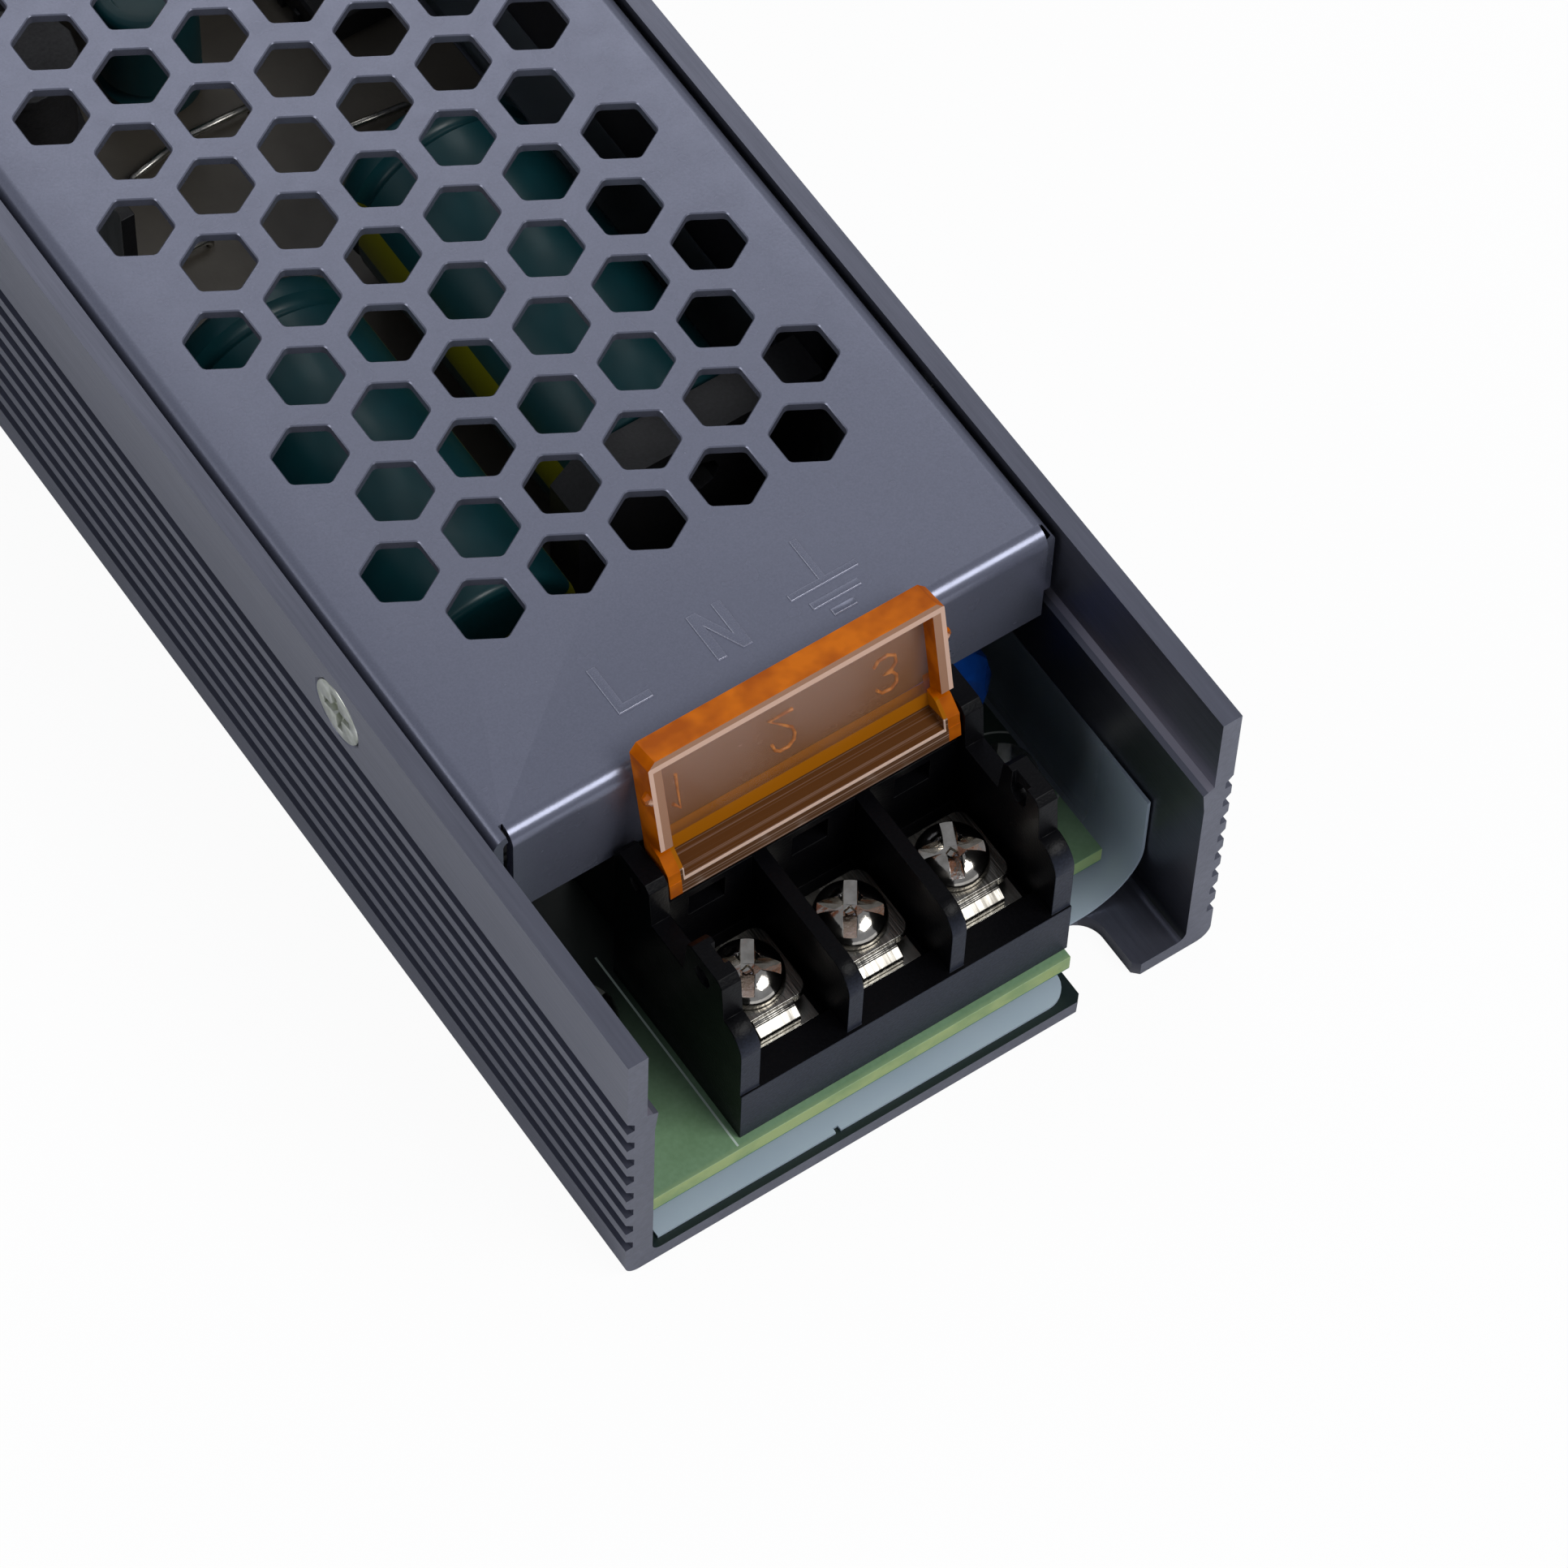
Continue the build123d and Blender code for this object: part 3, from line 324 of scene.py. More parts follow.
def makeMoulding():
    look = mouldLook
    shader = Shader("blackMoulding")
    grain = shader.even(shader.noise(look["grain"], 3.0))
    cloud = shader.noise(look["cloud"])
    fromMiddle = abs(shader.axes()[1])
    front = shader.span(fromMiddle, look["frontFrom"], look["frontTo"]) * (abs(shader.normal()[1]) > 0.3)
    body = shader.mix(grain, look["colour"], look["fleck"])
    face = shader.mix(grain, look["front"], look["frontFleck"])
    return shader.finish({
        "Base Color": shader.mix(front, body, face),
        "Roughness": look["roughness"] + (cloud - 0.5) * look["spread"],
        "Specular IOR Level": look["sheen"],
        "Normal": shader.bump(shader.noise(look["grain"]), look["relief"]),
    })


materials["blackMoulding"] = makeMoulding()

# the covers' clear amber moulding: pale through its thin plate, whose haze is partly painted reflection, and deep
# orange along its rims, with painted highlights and shade on the rims' faces and painted refraction and a painted
# highlight over the hinge bar
amberLook = {
    "clear": tone(220, 150, 90), "clearRoughness": 0.06, "clearAlpha": 0.10, "hazeAndReflection": tone(196, 158, 136),
    "hazeLow": tone(176, 118, 78), "hazeShare": (0.14, 0.28), "hazeFrom": 3.0, "hazeTo": 10.8, "hazeRoughness": 0.25,
    "dense": tone(212, 110, 3), "denseDark": tone(170, 80, 1), "denseRoughness": 0.14, "denseClear": 0.05,
    "denseSheen": 0.03, "deepRoughness": 0.08, "rimPaintedLight": tone(236, 198, 176), "rimPaintedShade": tone(176, 134, 108),
    "rimFaceDepth": -0.9, "rimFrom": 11.5, "rimSide": 11.75, "rimFoot": 3.0, "plateSide": 11.1,
    "strip": tone(172, 102, 2), "stripFrom": 1.0, "stripTo": 2.3, "barDark": tone(92, 56, 26),
    "barFront": -1.36, "barEdge": -0.20, "barSide": 10.9, "barPaintedHighlight": tone(214, 186, 168),
    "barShade": tone(88, 60, 40), "streak": 0.16, "streakStretch": (0.003, 1, 1), "streakFrom": 0.54,
    "streakTo": 0.68, "ripple": 0.02, "rippleSize": 2.5, "cloud": 2.2, "index": 1.5,
}


def hingeOf(end):
    return Vector(next(j for j in frame["joints"] if j["name"] == end + "_cover_hinge")["pos_m"])


def makeAmber(end, lean, facing):
    # lean is how far the cover stands open, in degrees; facing is -1 where its free edge points to -Y
    look = amberLook
    shader = Shader("amberClear" + end.title())
    hinge = hingeOf(end)
    x, y, z = shader.axes()
    ny, nz = shader.normal()[1:]
    reachY, reachZ = facing * cos(radians(lean)), sin(radians(lean))
    backY, backZ = -facing * reachZ, cos(radians(lean))
    along, over = y - hinge.y / mm, z - hinge.z / mm
    aside = abs(x - hinge.x / mm)
    reach = along * reachY + over * reachZ
    depth = along * backY + over * backZ
    faceOn = abs(ny * backY + nz * backZ)
    ripple = shader.noise(look["rippleSize"], 1.0)
    cloud = shader.noise(look["cloud"])
    bump = shader.bump(ripple, look["ripple"])
    rise = shader.span(reach, look["hazeFrom"], look["hazeTo"])
    both = {"IOR": look["index"], "Normal": bump}
    clear = shader.plastic({"Base Color": look["clear"], "Roughness": look["clearRoughness"],
                            "Alpha": look["clearAlpha"], **both})
    # partly painted reflection: the haze lends the plate the brightness its faces reflect, darker and more orange
    # towards the hinge
    hazeAndReflection = shader.plastic({"Base Color": shader.mix(rise, look["hazeLow"], look["hazeAndReflection"]),
                           "Roughness": look["hazeRoughness"], **both})
    glow = shader.mix(shader.even(cloud), look["dense"], look["denseDark"])
    # the rims' front faces carry a pale painted highlight: the end rim along its inner half, the side rims along
    # their outer one; their other halves get painted shade
    rimPaintedLight = (depth < look["rimFaceDepth"]) * shader.span(faceOn, 0.5, 0.9) * (reach > look["rimFoot"])
    shaded = (reach > look["rimFrom"]).most((aside < look["rimSide"]) * (reach < look["rimFrom"] - 0.5))
    glow = shader.mix(rimPaintedLight, glow, shader.mix(shaded, look["rimPaintedLight"], look["rimPaintedShade"]))
    # over the hinge bar, painted light: an orange strip of painted refraction, a dark band, a thin painted highlight
    # along its edge, then fine streaks of painted refraction
    inner = aside < look["plateSide"]
    strip = (reach > look["stripFrom"]) * (reach < look["stripTo"]) * inner
    band = (reach < look["stripFrom"]) * inner
    low = band * (depth < look["barFront"])
    line = low * (reach > look["barEdge"]) * (aside < look["barSide"])
    streaks = shader.noise(look["streak"], 1.0, look["streakStretch"])
    streaks = shader.span(streaks, look["streakFrom"], look["streakTo"])
    glow = shader.mix(strip, glow, look["strip"])
    glow = shader.mix(band, glow, shader.mix(streaks * 0.16, look["barDark"], look["barPaintedHighlight"]))
    glow = shader.mix(low, glow, shader.mix(streaks * 0.45, look["barShade"], look["barPaintedHighlight"]))
    glow = shader.mix(line, glow, look["barPaintedHighlight"])
    lug = (aside > look["plateSide"]) * (reach < look["rimFoot"])
    both["Specular IOR Level"] = look["denseSheen"]
    body = shader.plastic({"Base Color": glow, "Roughness": look["denseRoughness"], **both})
    deep = shader.plastic({"Base Color": look["dense"], "Roughness": look["deepRoughness"],
                           "Transmission Weight": 1.0, **both})
    misty = look["hazeShare"][0] + rise * (look["hazeShare"][1] - look["hazeShare"][0])
    pale = shader.blend(misty, clear, hazeAndReflection)
    rim = shader.blend(look["denseClear"], body, deep)
    edgeOn = 1 - shader.span(faceOn, 0.45, 0.85)
    solid = edgeOn.most(strip * 0.85).most(band * 0.85).most(line).most(rimPaintedLight * 0.8).most(lug * 0.8)
    return shader.output(shader.blend(solid, pale, rim))


openLean = 102.0  # degrees; the input cover stands open at rest, the output cover is shut
materials["amberInput"] = makeAmber("input", openLean, -1)
materials["amberOutput"] = makeAmber("output", 0.0, 1)

# the thin insulating film, more opaque and paler towards both ends, partly painted light on its lit front strip;
# millimetres from the middle
filmLook = {
    "colour": tone(190, 204, 216), "cloudy": tone(172, 190, 206), "roughness": 0.26, "spread": 0.1, "cloud": 5.0,
    "relief": 0.03, "clearAlpha": 0.10, "milkyAlpha": 0.92, "milkyFrom": 81.5, "milkyTo": 89.5,
}


def makeFilm():
    look = filmLook
    shader = Shader("clearFilm")
    cloud = shader.noise(look["cloud"])
    # partly painted light: the film turns opaque and pale towards both ends, where its front strip is lit
    milkyAndLit = shader.span(abs(shader.axes()[1]) + cloud * 2, look["milkyFrom"], look["milkyTo"])
    return shader.finish({
        "Base Color": shader.mix(cloud, look["colour"], look["cloudy"]),
        "Roughness": look["roughness"] + cloud * look["spread"],
        "Alpha": look["clearAlpha"] + milkyAndLit * (look["milkyAlpha"] - look["clearAlpha"]),
        "Normal": shader.bump(cloud, look["relief"]),
    })


materials["clearFilm"] = makeFilm()

# the board: green lacquer with painted shade towards the cover, its painted dim brownish tone under it and painted
# light along its front strip, with pale laminate at its cut edges
boardLook = {
    "lacquer": tone(126, 160, 124), "lacquerDark": tone(112, 146, 108), "shade": tone(16, 30, 24),
    "litFrontStrip": tone(146, 172, 124), "frontFrom": -91.9, "underline": tone(56, 118, 100), "underTo": 3.55,
    "shadedInside": tone(96, 90, 80), "insideDark": tone(78, 73, 66), "edge": tone(164, 182, 118),
    "edgeStain": tone(138, 164, 108), "line": tone(196, 212, 200), "ring": tone(120, 124, 120),
    "shadeFrom": -88.5, "shadeTo": -76.0, "insideFrom": -66.0, "insideTo": -54.0,
    "lineX": -14.35, "lineWidth": 0.16, "lineFrom": -92.0, "lineTo": -74.0,
    "ringX": 18.0, "ringY": -77.8, "ringRadius": 4.1, "ringWidth": 0.16, "cloud": 3.0, "grain": 0.35,
    "roughness": 0.34, "spread": 0.16, "relief": 0.01, "blend": 0.5,
}


def makeBoard():
    look = boardLook
    shader = Shader("boardLacquer")
    x, y, z = shader.axes()
    y = -abs(y)  # both ends alike
    cloud = shader.noise(look["cloud"], 3.0)
    grain = shader.noise(look["grain"])
    top = shader.mix(shader.even(cloud * 0.6 + grain * 0.4), look["lacquer"], look["lacquerDark"])
    # painted shade: darker from the front towards the cover
    top = shader.mix(shader.span(y, look["shadeFrom"], look["shadeTo"]), top, look["shade"])
    # painted light: a paler strip along the lit front edge
    front = shader.span(-y, -look["frontFrom"], look["blend"] - look["frontFrom"])
    top = shader.mix(front, top, look["litFrontStrip"])
    # painted shade: under the cover the board takes the dim brownish tone it shows there, not its green
    shadedInside = shader.span(y, look["insideFrom"], look["insideTo"])
    top = shader.mix(shadedInside, top, shader.mix(cloud, look["shadedInside"], look["insideDark"]))
    lineMask = (abs(x - look["lineX"]) < look["lineWidth"] / 2) * (y > look["lineFrom"]) * (y < look["lineTo"])
    top = shader.mix(lineMask, top, look["line"])
    away = ((x - look["ringX"]) ** 2 + (y - look["ringY"]) ** 2) ** 0.5
    top = shader.mix(abs(away - look["ringRadius"]) < look["ringWidth"] / 2, top, look["ring"])
    edge = shader.mix(shader.even(cloud, 0.4, 0.6), look["edge"], look["edgeStain"])
    edge = shader.mix(z < look["underTo"], edge, look["underline"])
    flat = abs(shader.normal()[2]) > 0.6
    return shader.finish({
        "Base Color": shader.mix(flat, edge, top),
        "Roughness": look["roughness"] + cloud * look["spread"],
        "Normal": shader.bump(grain, look["relief"]),
    })


materials["boardLacquer"] = makeBoard()

# the cans' shrink sleeve, teal with one gold stripe
sleeveLook = {
    "colour": tone(6, 66, 72), "shade": tone(4, 54, 60), "stripe": tone(128, 128, 14),
    "stripeWidth": 0.20, "roughness": 0.34, "spread": 0.1, "coat": 0.15, "coatRoughness": 0.25, "cloud": 2.5,
    "dents": 4.0, "relief": 0.06,
}


def makeSleeve(name, centreX, centreZ, turn):
    look = sleeveLook
    shader = Shader(name)
    x, z = shader.axes()[::2]
    cloud = shader.noise(look["cloud"])
    angle = shader.add("ShaderNodeMath", {"operation": "ARCTAN2"}, {0: z - centreZ, 1: x - centreX})
    near = abs(angle - radians(turn)) < look["stripeWidth"]
    body = shader.mix(cloud, look["colour"], look["shade"])
    return shader.finish({
        "Base Color": shader.mix(near, body, look["stripe"]),
        "Roughness": look["roughness"] + cloud * look["spread"],
        "Coat Weight": look["coat"],
        "Coat Roughness": look["coatRoughness"],
        "Normal": shader.bump(shader.noise(look["dents"], 1.0), look["relief"]),
    })


# tape round the transformer, with one lap line, and the lamp's tinted lens
tapeLook = {
    "colour": tone(206, 170, 48), "shade": tone(184, 148, 36), "lap": tone(150, 118, 26), "lapAt": 11.5,
    "lapWidth": 0.12, "grain": 1.4, "stretch": (0.25, 1, 1), "roughness": 0.24, "spread": 0.12, "coat": 0.4,
    "relief": 0.05,
}
lensLook = {
    "colour": tone(120, 214, 132), "shade": tone(96, 196, 112), "cloud": 1.5, "roughness": 0.12, "spread": 0.08,
    "clear": 0.7,
}


def makeTape():
    look = tapeLook
    shader = Shader("windingTape")
    wrap = shader.noise(look["grain"], 2.0, look["stretch"])
    lap = abs(shader.axes()[2] - look["lapAt"]) < look["lapWidth"]
    return shader.finish({
        "Base Color": shader.mix(lap, shader.mix(wrap, look["colour"], look["shade"]), look["lap"]),
        "Roughness": look["roughness"] + wrap * look["spread"],
        "Coat Weight": look["coat"],
        "Normal": shader.bump(wrap, look["relief"]),
    })


def makeLens():
    look = lensLook
    shader = Shader("lampLens")
    cloud = shader.noise(look["cloud"])
    return shader.finish({
        "Base Color": shader.mix(cloud, look["colour"], look["shade"]),
        "Roughness": look["roughness"] + cloud * look["spread"],
        "Transmission Weight": look["clear"],
    })


materials["windingTape"] = makeTape()
materials["lampLens"] = makeLens()
print("materials:", len(materials))


def stand(name, data):
    piece = bpy.data.objects.new(name, data)
    scene.collection.objects.link(piece)
    return piece


def link(name, mesh, material, body="chassis", replaced=(), sharp=35):
    # a new piece, smooth but for the edges sharper than so many degrees
    mesh.materials.clear()
    mesh.materials.append(materials[material] if isinstance(material, str) else material)
    mesh.polygons.foreach_set("use_smooth", [True] * len(mesh.polygons))
    mesh.set_sharp_from_angle(angle=radians(sharp))
    piece = stand(name, mesh)
    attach(piece, body)
    if replaced:
        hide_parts(*replaced)
    return piece


def spun(angle, axis="Z"):
    return Matrix.Rotation(radians(angle), 4, axis)


def sharpEdges(shape, angle):
    return [edge for edge in shape.edges if len(edge.link_faces) == 2
            and edge.calc_face_angle(0) > radians(angle)]


def roundEdges(shape, edges, width, segments=2):
    bmesh.ops.bevel(shape, geom=edges, offset=width * mm, segments=segments, profile=0.5, affect="EDGES",
                    clamp_overlap=True)


def faceOut(shape):
    bmesh.ops.recalc_face_normals(shape, faces=shape.faces)


def meshOf(shape, name):
    mesh = bpy.data.meshes.new(name)
    shape.to_mesh(mesh)
    shape.free()
    return mesh


def loft(shape, rings, closed=True):
    # walls from ring to ring, and a face over the first and the last; points in millimetres
    rows = [[shape.verts.new([value * mm for value in spot]) for spot in ring] for ring in rings]
    count = len(rows[0])
    for first, second in zip(rows, rows[1:]):
        for i in range(count if closed else count - 1):
            j = (i + 1) % count
            shape.faces.new((first[i], first[j], second[j], second[i]))
    shape.faces.new(rows[0][::-1])
    shape.faces.new(rows[-1])


def tubes(name, lines, radius, steps, material, body="chassis"):
    # round strokes along lines of points in metres
    curve = bpy.data.curves.new(name, "CURVE")
    curve.dimensions = "3D"
    curve.bevel_depth = radius * mm
    curve.bevel_resolution = steps
    curve.use_fill_caps = True
    for line in lines:
        spline = curve.splines.new("POLY")
        spline.points.add(len(line) - 1)
        for point, spot in zip(spline.points, line):
            point.co = [*spot, 1.0]
    curve.materials.append(materials[material])
    piece = stand(name, curve)
    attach(piece, body)
    return piece


def evenNormals(piece):
    even = piece.modifiers.new("evenNormals", "WEIGHTED_NORMAL")
    even.keep_sharp = True
    even.weight = 100


def bodyOf(node):
    return nodes[node]["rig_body"]


def softened(node, material, width, angle=28):
    # stands for a CAD node: the same form with its sharp edges rounded off a little
    shape = bmesh.new()
    shape.from_mesh(nodes[node].data)
    bmesh.ops.remove_doubles(shape, verts=shape.verts, dist=0.002 * mm)
    bmesh.ops.dissolve_limit(shape, angle_limit=radians(0.5), verts=shape.verts, edges=shape.edges)
    roundEdges(shape, sharpEdges(shape, angle), width)
    mesh = meshOf(shape, node + "Soft")
    evenNormals(link(node + "Dressed", mesh, material, bodyOf(node), (node,), sharp=50))


# nodes that keep their CAD form: the finish, and how far their edges are rounded, in millimetres
softEdges = {
    "chassis": ("anodised", 0.10), "circuit_board": ("boardLacquer", 0.06),
    "input_terminal_block": ("blackMoulding", 0.14), "output_terminal_block": ("blackMoulding", 0.14),
    "input_contacts": ("tinned", 0.06), "output_contacts": ("tinned", 0.06),
    "input_terminal_cover": ("amberInput", 0.12), "output_terminal_cover": ("amberOutput", 0.12),
    "fuse": ("fuseCase", 0.15), "varistor": ("blueDip", 0.5), "inrush_thermistor": ("darkDip", 0.4),
    "filter_capacitor": ("greyCase", 0.2), "filter_choke_core": ("ferrite", 0.2),
    "filter_choke_bobbin": ("blackMoulding", 0.1), "filter_choke_windings": ("enamelWire", 0.2),
    "bridge_rectifier": ("chipMould", 0.15), "heat_spreader": ("plainSheet", 0.12),
    "switching_transistor": ("chipMould", 0.1), "storage_choke": ("ferrite", 0.15),
    "control_chip": ("chipMould", 0.06), "optocoupler": ("chipMould", 0.06),
    "transformer_core": ("ferrite", 0.2), "transformer_bobbin": ("blackMoulding", 0.12),
    "transformer_winding": ("windingTape", 0.3), "safety_capacitors": ("blueDip", 0.3),
    "output_rectifiers": ("chipMould", 0.1), "rectifier_strap": ("plainSheet", 0.08),
    "output_choke_core": ("ferrite", 0.25), "output_choke_winding": ("enamelWire", 0.2),
    "indicator_lamp": ("lampLens", 0.1), "trimmer_housing": ("trimmerBlue", 0.1),
    "trimmer_rotor": ("rotorWhite", 0.06), "board_posts": ("zinc", 0.08),
}
for node, (material, width) in softEdges.items():
    softened(node, material, width)
print("edges: rounded on", len(softEdges), "nodes")

# the folded cover: sizes in millimetres, rounded vents as in the photograph
coverLook = {
    "sheet": 0.8, "bend": 1.3, "bendSteps": 10, "tabLeft": 21.7, "tabRight": 22.3, "reliefWidth": 0.35,
    "reliefDepth": 1.35, "endDrop": 9.8, "sideDrop": 7.3, "pitch": 6.65, "flats": 4.82, "corner": 0.5,
    "cornerSteps": 5, "edgeBreak": 0.09, "rows": 21, "shortRow": 5, "firstRow": 16.37, "cornerGap": 0.3,
}


def roundedHexagon(flats, corner, steps, grow=0.0):
    # the outline of a vent with rounded corners, all round
    inset = (flats / 2 - corner) / cos(radians(30))
    outline = []
    for side in range(6):
        middle = radians(30 + 60 * side)
        for step in range(steps + 1):
            turn = middle + radians(-30 + 60 * step / steps)
            outline.append((inset * cos(middle) + (corner + grow) * cos(turn),
                            inset * sin(middle) + (corner + grow) * sin(turn)))
    return outline


def bendLine(reach, drop, top, look, start=0.0):
    # outer then inner points of one folded edge, from the flat to the rim, as (reach, height)
    radius, sheet, steps = look["bend"], look["sheet"], look["bendSteps"]
    outer, inner = [], []
    for step in range(steps + 1):
        turn = radians(start + (90 - start) * step / steps)
        for line, r in ((outer, radius), (inner, radius - sheet)):
            line.append((reach - radius + r * sin(turn), top - radius + r * cos(turn)))
    outer.append((reach, top - drop))
    inner.append((reach - sheet, top - drop))
    return outer + inner[::-1]


def makeCover():
    look = coverLook
    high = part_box("top_cover")[1]
    half, end, top = high.x / mm, high.y / mm, high.z / mm
    flatX, flatY = half - look["bend"], end - look["bend"]
    centres = []
    rowPitch = look["pitch"] * sin(radians(60))
    for row in range(look["rows"]):
        count = look["shortRow"] + row % 2
        for index in range(count):
            centres.append(((index - (count - 1) / 2) * look["pitch"], look["firstRow"] - end + row * rowPitch))
    tabs = {-1: look["tabLeft"], 1: look["tabRight"]}
    notch = end - look["reliefDepth"]
    border = []
    for sx, sy in ((1, 1), (-1, 1), (-1, -1), (1, -1)):
        tab = tabs[sx]
        corner = [(sx * flatX, sy * notch), (sx * tab, sy * notch), (sx * tab, sy * flatY)]
        border += corner if sx * sy > 0 else corner[::-1]
    points = [Vector(p) for p in border]
    loops = [list(range(len(points)))]
    hexagon = roundedHexagon(look["flats"], look["corner"], look["cornerSteps"])
    wide = roundedHexagon(look["flats"], look["corner"], look["cornerSteps"], look["edgeBreak"])
    for x, y in centres:
        loops.append(list(range(len(points), len(points) + len(wide))))
        points += [Vector((x + px, y + py)) for px, py in wide]
    edges = [(loop[i], loop[(i + 1) % len(loop)]) for loop in loops for i in range(len(loop))]
    flat = geometry.delaunay_2d_cdt(points, edges, [], 1, 1e-6)
    shape = bmesh.new()
    deep = top - look["sheet"]
    upper = [shape.verts.new((p.x * mm, p.y * mm, top * mm)) for p in flat[0]]
    borderCount = len(border)
    lower = []
    for index, p in enumerate(flat[0]):
        if index < borderCount:
            lower.append(shape.verts.new((p.x * mm, p.y * mm, deep * mm)))
        else:
            hole, spot = divmod(index - borderCount, len(hexagon))
            x, y = centres[hole][0] + hexagon[spot][0], centres[hole][1] + hexagon[spot][1]
            lower.append(shape.verts.new((x * mm, y * mm, deep * mm)))
    holeOf = [-1] * borderCount + [hole for hole in range(len(centres)) for spot in hexagon]
    for face in flat[2]:
        a, b, c = [flat[0][i] for i in face]
        if holeOf[face[0]] >= 0 and len({holeOf[i] for i in face}) == 1:
            continue  # this triangle fills a vent
        corners = list(face) if (b - a).cross(c - a) > 0 else list(face)[::-1]
        shape.faces.new([upper[i] for i in corners])
        shape.faces.new([lower[i] for i in reversed(corners)])
    for hole, loop in enumerate(loops[1:]):
        x, y = centres[hole]
        edge = (top - look["edgeBreak"]) * mm
        ring = [shape.verts.new(((x + px) * mm, (y + py) * mm, edge)) for px, py in hexagon]
        for i in range(len(loop)):
            j = (i + 1) % len(loop)
            shape.faces.new((upper[loop[j]], upper[loop[i]], ring[i], ring[j]))
            shape.faces.new((ring[j], ring[i], lower[loop[i]], lower[loop[j]]))

    def strip(line, place, first, last):
        # sweeps a folded edge between two stations
        rings = [[place(reach, height, station) for reach, height in line] for station in (first, last)]
        loft(shape, rings, closed=False)

    sideLine = bendLine(half, look["sideDrop"], top, look)
    endLine = bendLine(end, look["endDrop"], top, look)
    for side in (-1, 1):
        strip(sideLine, lambda r, h, s: (side * r, s, h), -notch, notch)
        strip(endLine, lambda r, h, s: (s, side * r, h), -tabs[-1], tabs[1])
        start = degrees(asin((tabs[side] + look["reliefWidth"] - flatX) / look["bend"]))
        cornerLine = bendLine(half, look["sideDrop"], top, look, start)
        for sy in (-1, 1):
            first, last = sorted((sy * notch, sy * (end - look["cornerGap"])))
            strip(cornerLine, lambda r, h, s: (side * r, s, h), first, last)
    bmesh.ops.remove_doubles(shape, verts=shape.verts, dist=0.001 * mm)
    faceOut(shape)
    mesh = meshOf(shape, "ventedCover")
    link("ventedCover", mesh, "coverPaint", "chassis", ("top_cover",), sharp=40)


makeCover()
print("cover: folded, vents cut")


def latheMesh(name, outline, steps):
    # a turned form from (radius, height) points, in millimetres; radius 0 closes it
    shape = bmesh.new()
    turns = [2 * pi * k / steps for k in range(steps)]
    rings = []
    for radius, height in outline:
        if radius < 1e-6:
            rings.append([shape.verts.new((0, 0, height * mm))])
            continue
        radius *= mm
        rings.append([shape.verts.new((radius * cos(t), radius * sin(t), height * mm)) for t in turns])
    for low, high in zip(rings, rings[1:]):
        for k in range(steps):
            after = (k + 1) % steps
            corners = [low[k % len(low)], low[after % len(low)], high[after % len(high)], high[k % len(high)]]
            unique = list(dict.fromkeys(corners))
            if len(unique) > 2:
                shape.faces.new(unique)
    faceOut(shape)
    return meshOf(shape, name)


# clamp plates: a square washer, with a ribbed tongue that slopes down in front; millimetres
clampLook = {
    "side": 6.3, "thick": 0.8, "corner": 1.1, "cornerSteps": 6, "edge": 0.16, "tongue": 3.45, "reach": 1.1,
    "profile": ((-0.9, -0.2), (0.1, -0.2), (0.16, -0.36), (0.34, -0.36), (0.38, -0.50), (1.04, -0.88), (1.1, -1.0)),
    "tongueThick": 0.6, "rootFrom": -0.2, "rootTo": -0.9,
}


def makeClamp(node, facing):
    look = clampLook
    low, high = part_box(node)
    top, bottom = high.z / mm, low.z / mm
    seat = (high.y if facing < 0 else low.y) / mm + facing * look["side"] / 2
    half = look["side"] / 2
    inset = half - look["corner"]
    outline = []
    for quarter, (sx, sy) in enumerate(((1, 1), (-1, 1), (-1, -1), (1, -1))):
        for step in range(look["cornerSteps"] + 1):
            turn = radians(90 * quarter + 90 * step / look["cornerSteps"])
            spot = (sx * inset + look["corner"] * cos(turn), sy * inset + look["corner"] * sin(turn))
            outline.append(spot)
    under = top - look["thick"]
    tongueLine = [(half + y, top + z) for y, z in look["profile"]]
    tongueLine += [(half + look["reach"], bottom), (half + look["reach"] - look["tongueThick"], bottom),
                   (half + look["rootFrom"], under), (half + look["rootTo"], under)]
    shape = bmesh.new()
    loft(shape, [[(x, y, z) for x, y in outline] for z in (under, top)])
    loft(shape, [[(x, y, z) for y, z in tongueLine] for x in (-look["tongue"] / 2, look["tongue"] / 2)])
    faceOut(shape)
    roundEdges(shape, sharpEdges(shape, 50), look["edge"], 3)
    mesh = meshOf(shape, node)
    turn = spun(180 if facing < 0 else 0)
    mesh.transform(Matrix.Translation(((low.x + high.x) / 2, seat * mm, 0)) @ turn)
    evenNormals(link(node + "Dressed", mesh, "brushedNickel", bodyOf(node), (node,), sharp=40))


for end, count, facing in (("input", 3, -1), ("output", 2, 1)):
    for number in range(1, count + 1):
        makeClamp(f"{end}_clamp_{number}", facing)
print("clamps: bent")

# screw heads with a pressed cross; sizes in millimetres, heights over the seat, turns in degrees
screwLook = {
    "radius": 2.7, "side": 0.35, "height": 2.0, "shank": 1.45, "length": 6.0, "steps": 64, "domeSteps": 12,
    "edgeBreak": 0.1, "tip": 0.3, "tipShare": 0.8, "reach": 2.52, "armInner": 0.56, "armOuter": 0.54,
    "armDepth": 1.12, "armRise": 0.30, "pocket": 1.1, "pocketDepth": 1.0, "socket": 0.55, "socketDepth": 1.4,
    "edge": 0.05, "turns": (56, 55, 66), "boardTurn": 20, "boardTurnStep": 31,
}
# how every cross is cut: the shares that its walls lean by, and how far the cutters stand over the head
crossLook = {
    "armFoot": 0.85, "armMouth": 1.1, "armOver": 1, "turned": 0.3, "pocketFoot": 0.6, "pocketRim": 0.03,
    "pocketOver": 0.9, "pocketSteps": 23, "socketFoot": 0.75, "socketMouth": 1.4, "socketOver": 0.5,
}


